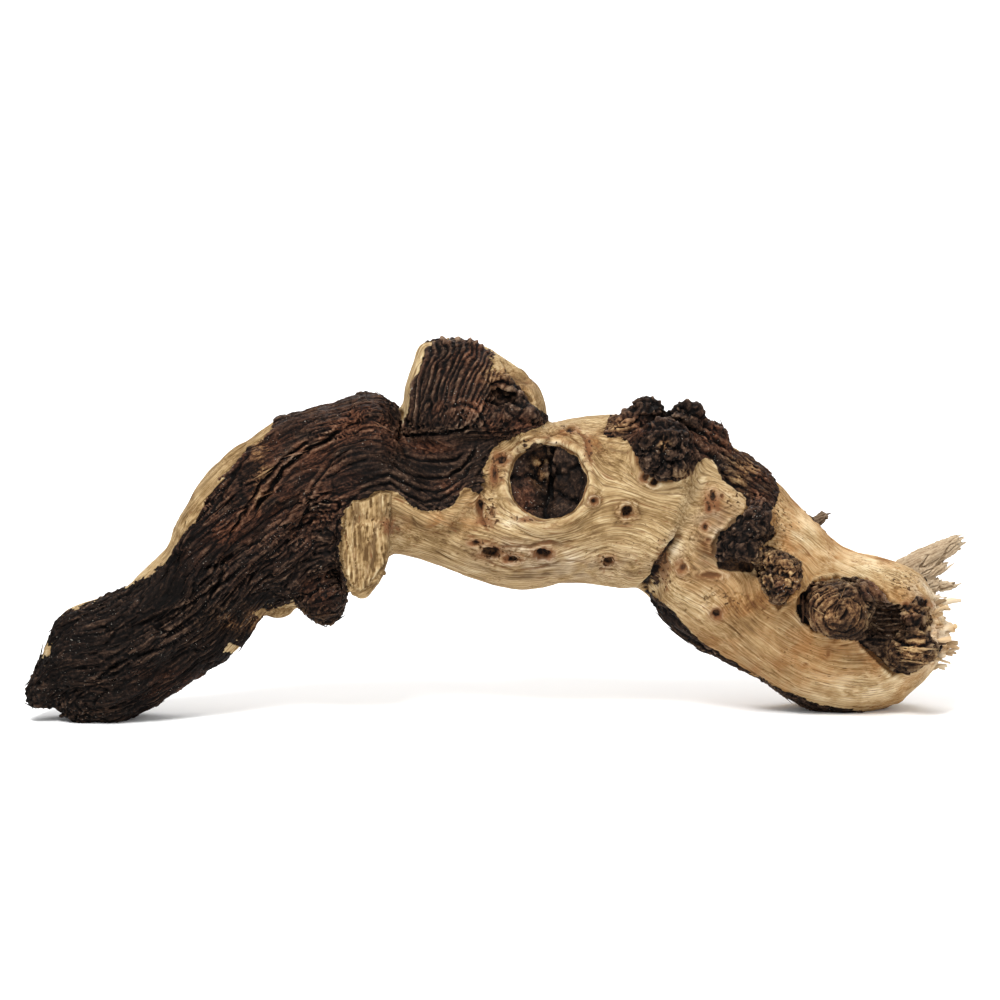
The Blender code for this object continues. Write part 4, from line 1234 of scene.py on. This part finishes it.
    # Pits and hollows painted near-black, broken by the pore colour: painted shade.
    hollow = n.mixed(n.range(crumb, 0.42, 0.66), look["hollow"], look["pore"])
    colour = n.mixed(n.range(pit, 0.25, 0.75), colour, hollow)
    rough = n.mixed(share, (0.78,) * 3, (0.58,) * 3)
    height = n.summed((fine, 0.45), (grain, 0.9), (rings, -0.25))
    height = n.plus(height, n.times(speck, n.range(share, 0, 1, 0.15, 0.9)))
    n.finish({"Base Color": colour, "Roughness": rough, "Normal": n.bumped(height, 0.8, 0.6 * mm),
              "Specular IOR Level": look["specular"]})
    return material


def triangles(mesh):
    return sum(len(polygon.vertices) - 2 for polygon in mesh.polygons)


def dressWood():
    pieces = woodPieces(sculptedSkin())
    strands = strandTree()
    for node, piece in pieces.items():
        finish = woodMaterial(node + "Finish", woodLook)
        piece.data.materials.append(finish)
        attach(piece, "root")
        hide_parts(node)
        print(node, triangles(piece.data), "triangles")
        for kind, look in strandLooks.items():
            if node in look["on"]:
                scatterStrands(strands, piece, node + kind, look, finish)


# Fibres and splinters: spindles scattered over a piece, by Geometry Nodes

strandLooks = {
    "Fibres": {
        "on": ("left_limb", "upper_stub", "right_limb", "trunk"), "mask": "fibrous", "aim": "aim",
        "perSquareMetre": 42000, "length": 9.0 * mm, "girth": 0.38 * mm, "spread": 0.09, "wobble": 0.9 * mm,
        "taper": 0.9, "seed": 4,
    },
    "Splinters": {
        "on": ("right_limb",), "mask": "ragged", "aim": "outward",
        "perSquareMetre": 20000, "length": 9.0 * mm, "girth": 1.2 * mm, "spread": 0.48, "wobble": 3.0 * mm,
        "taper": 0.45, "seed": 9,
    },
    "Chips": {
        "on": ("left_limb", "upper_stub", "trunk"), "mask": "ragged", "aim": "outward",
        "perSquareMetre": 14000, "length": 2.6 * mm, "girth": 1.5 * mm, "spread": 0.8, "wobble": 2.4 * mm,
        "taper": 0.5, "seed": 17,
    },
}
strandShape = {"Vertices": 5, "Side Segments": 4}


def strandTree():
    tree = bpy.data.node_groups.new("strands", "GeometryNodeTree")
    tree.interface.new_socket("Geometry", in_out="OUTPUT", socket_type="NodeSocketGeometry")
    for name, kind in (("Geometry", "Geometry"), ("Mask", "String"), ("Aim", "String"),
                       ("Density", "Float"), ("Length", "Float"), ("Girth", "Float"),
                       ("Spread", "Float"), ("Wobble", "Float"), ("Taper", "Float"),
                       ("Seed", "Int"), ("Finish", "Material")):
        tree.interface.new_socket(name, in_out="INPUT", socket_type="NodeSocket" + kind)
    n = Nodes(tree)
    given = n.add("NodeGroupInput").outputs

    def made(kind, values=None, **settings):
        return n.add(kind, values, **settings).outputs[0]

    def vectors(operation, a, b):
        second = "Scale" if operation == "SCALE" else 1
        return made("ShaderNodeVectorMath", {0: a, second: b}, operation=operation)

    def chance(low, high, seed, kind="FLOAT"):
        first, drawn = (2, 1) if kind == "FLOAT" else (0, 0)
        values = {"Seed": n.plus(given["Seed"], seed), first: low, first + 1: high}
        return n.add("FunctionNodeRandomValue", values, data_type=kind).outputs[drawn]

    mask = made("GeometryNodeInputNamedAttribute", {"Name": given["Mask"]}, data_type="FLOAT")
    aim = made("GeometryNodeInputNamedAttribute", {"Name": given["Aim"]}, data_type="FLOAT_VECTOR")
    density = n.times(given["Density"], mask)
    scatter = made("GeometryNodeDistributePointsOnFaces",
                   {"Mesh": given["Geometry"], "Density": density, "Seed": given["Seed"]},
                   distribute_method="RANDOM")

    # One spindle, a unit long, thin at both ends
    rod = made("GeometryNodeMeshCylinder", {**strandShape, "Radius": 1.0, "Depth": 1.0})
    place = n.add("ShaderNodeSeparateXYZ", {0: made("GeometryNodeInputPosition")}).outputs
    outer = n.maths("POWER", n.maths("ABSOLUTE", n.times(place[2], 2.0)), 1.7)
    thin = n.times(outer, n.times(given["Taper"], -1.0))
    inward = made("ShaderNodeCombineXYZ", {0: n.times(place[0], thin), 1: n.times(place[1], thin)})
    spindle = made("GeometryNodeSetPosition", {"Geometry": rod, "Offset": inward})

    # Its size and direction at each point
    stray = chance((-1, -1, -1), (1, 1, 1), 5, "FLOAT_VECTOR")
    way = vectors("ADD", aim, vectors("SCALE", stray, given["Spread"]))
    rotation = made("FunctionNodeAlignRotationToVector", {"Vector": way}, axis="Z")
    size = made("ShaderNodeCombineXYZ", {0: n.times(given["Girth"], chance(0.5, 1.3, 1)),
                                         1: n.times(given["Girth"], chance(0.4, 0.9, 2)),
                                         2: n.times(given["Length"], chance(0.2, 1.7, 3))})
    placed = made("GeometryNodeInstanceOnPoints",
                  {"Points": scatter, "Instance": spindle, "Rotation": rotation, "Scale": size})
    loose = made("GeometryNodeRealizeInstances", {0: placed})

    # Crooked, not straight
    where = vectors("SCALE", made("GeometryNodeInputPosition"), 220.0)
    drift = n.add("ShaderNodeTexNoise", {"Vector": where, "Scale": 1.0, "Detail": 2.0}).outputs["Color"]
    shift = vectors("SCALE", vectors("SUBTRACT", drift, (0.5, 0.5, 0.5)), given["Wobble"])
    crooked = made("GeometryNodeSetPosition", {"Geometry": loose, "Offset": shift})
    smooth = made("GeometryNodeSetShadeSmooth", {0: crooked})
    painted = made("GeometryNodeSetMaterial", {"Geometry": smooth, "Material": given["Finish"]})
    n.add("NodeGroupOutput", {0: painted})
    return tree


def scatterStrands(tree, piece, name, look, finish):
    source = newObject(name + "Source", piece.data)
    scatter = source.modifiers.new("strands", "NODES")
    scatter.node_group = tree
    values = {"Mask": look["mask"], "Aim": look["aim"], "Density": float(look["perSquareMetre"]),
              "Length": look["length"], "Girth": look["girth"], "Spread": look["spread"],
              "Wobble": look["wobble"], "Taper": look["taper"], "Seed": look["seed"], "Finish": finish}
    for socket in tree.interface.items_tree:
        if socket.in_out == "INPUT" and socket.name in values:
            scatter[socket.identifier] = values[socket.name]
    mesh = settled(source)
    mesh.name = name
    setPoints(mesh, standing(pointsOf(mesh)))
    strands = newObject(name, mesh)
    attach(strands, "root")
    print(name, triangles(mesh), "triangles")


# The dead wood: the splintered branch and the broken twig

deadWood = {
    "splintered_branch": {
        "ahead": (0.86, 0.0, 0.51), "grow": 0.0, "voxel": 0.8 * mm, "relaxing": 3,
        "ragged": 3.0, "splinters": 120000,
        "tones": [(0.22, (0.09, 0.055, 0.03)), (0.42, (0.27, 0.19, 0.115)),
                  (0.58, (0.42, 0.32, 0.21)), (0.85, (0.60, 0.50, 0.37))],
    },
    "twig": {
        "ahead": (0.94, 0.0, 0.34), "grow": 0.0, "voxel": 0.6 * mm, "relaxing": 3,
        "ragged": 1.6, "splinters": 90000,
        "tones": [(0.22, (0.02, 0.013, 0.009)), (0.45, (0.09, 0.058, 0.036)),
                  (0.65, (0.20, 0.14, 0.09)), (0.90, (0.46, 0.37, 0.26))],
    },
}
deadStrands = {
    "mask": "tip", "aim": "aim", "length": 6.0 * mm, "girth": 0.5 * mm, "spread": 0.25, "wobble": 0.8 * mm,
    "taper": 0.7, "seed": 21,
}


def deadMaterial(name, look):
    material, n = emptyMaterial(name)
    place = n.add("ShaderNodeTexCoord").outputs["Object"]
    flow = n.attribute("flow", True)
    grain = n.noise(n.scaled(flow, (0.05, 1.1, 1.1)), detail=5, roughness=0.65)
    fine = n.noise(n.scaled(flow, (0.15, 3.2, 3.2)), detail=2)
    speck = n.noise(place, scale=900, detail=3, roughness=0.7)
    level = n.summed((grain, 0.5), (fine, 0.25), (speck, 0.25))
    # Hollows darker and ridges lighter: painted shade, and wear with painted highlight on the ridges.
    level = n.plus(level, n.times(n.attribute("cavity"), 0.35))
    level = n.plus(level, n.times(n.attribute("tip"), 0.10))
    colour = n.colours(level, *look["tones"])
    height = n.summed((grain, 1.0), (fine, 0.5), (speck, 0.3))
    n.finish({"Base Color": colour, "Roughness": 0.8, "Normal": n.bumped(height, 0.8, 0.5 * mm),
              "Specular IOR Level": 0.15})
    return material


def dressDeadWood():
    tree = bpy.data.node_groups["strands"]
    for node, look in deadWood.items():
        mesh = closedSkin((node,), look)
        links = linksOf(mesh)
        points, normals = pointsOf(mesh), pointsOf(mesh, "normal")
        ahead = np.array(look["ahead"])
        up = np.array((-ahead[2], 0, ahead[0]))
        places = points * 1000
        flow = np.stack([places @ ahead, places @ up, places[:, 1]], 1)
        root = flow[:, 0].min()
        tip = ramp(normals @ ahead, 0.35, 0.75) * ramp(flow[:, 0], root + 8, root + 14)
        fine = 1.1 * (crests(flow / (18, 2.2, 2.2), 3, 111) - 0.5)
        fine -= 1.2 * cracks(flow / (26, 3.2, 3.2), 0.09, 112)
        fine += 0.25 * layered(places / 1.2, 2, 113)
        push = normals * fine[:, None] * (1 - 0.6 * tip)[:, None]
        torn = crests(flow / (30, 2.4, 2.4), 2, 114) - 0.62
        push += ahead * (look["ragged"] * torn * 1.6 * tip)[:, None]
        setPoints(mesh, points + push * mm)
        values = {"flow": flow, "cavity": fine - evened(fine, links, 6), "tip": tip,
                  "aim": np.tile(ahead, (len(points), 1))}
        for name, value in values.items():
            addValues(mesh, name, value)
        for polygon in mesh.polygons:
            polygon.use_smooth = True
        finish = deadMaterial(node + "Finish", look)
        mesh.materials.append(finish)
        name = "".join(word.capitalize() for word in node.split("_"))
        piece = newObject("dead" + name, mesh)
        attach(piece, "root")
        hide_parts(node)
        print(node, triangles(mesh), "triangles")
        strands = {**deadStrands, "perSquareMetre": look["splinters"]}
        scatterStrands(tree, piece, "dead" + name + "Splinters", strands, finish)


# Floor, light and camera

studio = {
    "floor": (0.93, 0.93, 0.93),
    "sky": 0.62,
    "lights": {   # place and size in metres, power in watts
        "key": {"place": (-0.35, -0.95, 1.45), "size": 0.55, "power": 33},
        "fill": {"place": (1.0, -1.2, 0.6), "size": 1.2, "power": 6},
        "rim": {"place": (0.2, 0.9, 1.2), "size": 0.8, "power": 8},
        "backdrop": {"place": (0.0, 2.2, 2.6), "size": 2.0, "power": 95, "aim": (0, 4.0, 0.2)},
    },
    "halfWidth": 6.0, "front": -6.0, "bend": 3.6, "bendSize": 1.2, "top": 4.0,   # the backdrop, in metres
}


def makeFloor():
    # A floor that bends up into the backdrop behind the wood.
    profile = [(studio["front"], 0)]
    for turn in range(0, 91, 6):
        angle = math.radians(turn)
        profile.append((studio["bend"] + studio["bendSize"] * math.sin(angle),
                        studio["bendSize"] * (1 - math.cos(angle))))
    profile.append((studio["bend"] + studio["bendSize"], studio["top"]))
    bm = bmesh.new()
    rows = [[bm.verts.new((side * studio["halfWidth"], y, z)) for side in (-1, 1)] for y, z in profile]
    for low, high in zip(rows, rows[1:]):
        bm.faces.new((low[0], low[1], high[1], high[0])).smooth = True
    mesh = bpy.data.meshes.new("floor")
    bm.to_mesh(mesh)
    bm.free()
    floor = newObject("floor", mesh)
    material, n = emptyMaterial("floorPaint")
    n.finish({"Base Color": (*studio["floor"], 1), "Roughness": 0.9, "Specular IOR Level": 0.1})
    mesh.materials.append(material)


def makeLights():
    world = bpy.data.worlds.new("studio")
    bpy.context.scene.world = world
    world.use_nodes = True
    background = world.node_tree.nodes["Background"]
    background.inputs["Color"].default_value = (1, 1, 1, 1)
    background.inputs["Strength"].default_value = studio["sky"]
    for name, look in studio["lights"].items():
        light = bpy.data.lights.new(name, "AREA")
        light.size = look["size"]
        light.energy = look["power"]
        lamp = newObject(name, light)
        lamp.location = look["place"]
        aim = Vector(look.get("aim", (0, 0, 0.07))) - Vector(look["place"])
        lamp.rotation_euler = aim.to_track_quat("-Z", "Y").to_euler()


def makeCamera():
    lens = bpy.data.cameras.new("camera")
    lens.sensor_width = 36
    lens.lens = 36 * photo["distance"] / photo["width"]
    lens.clip_end = 20
    camera = newObject("camera", lens)
    camera.location = Vector(viewAxes()[2])
    camera.rotation_euler = (math.radians(90 - photo["tilt"]), 0, 0)
    bpy.context.scene.camera = camera
    bpy.context.scene.view_settings.view_transform = "Standard"


makeCamera()
makeLights()
makeFloor()
dressWood()
dressDeadWood()
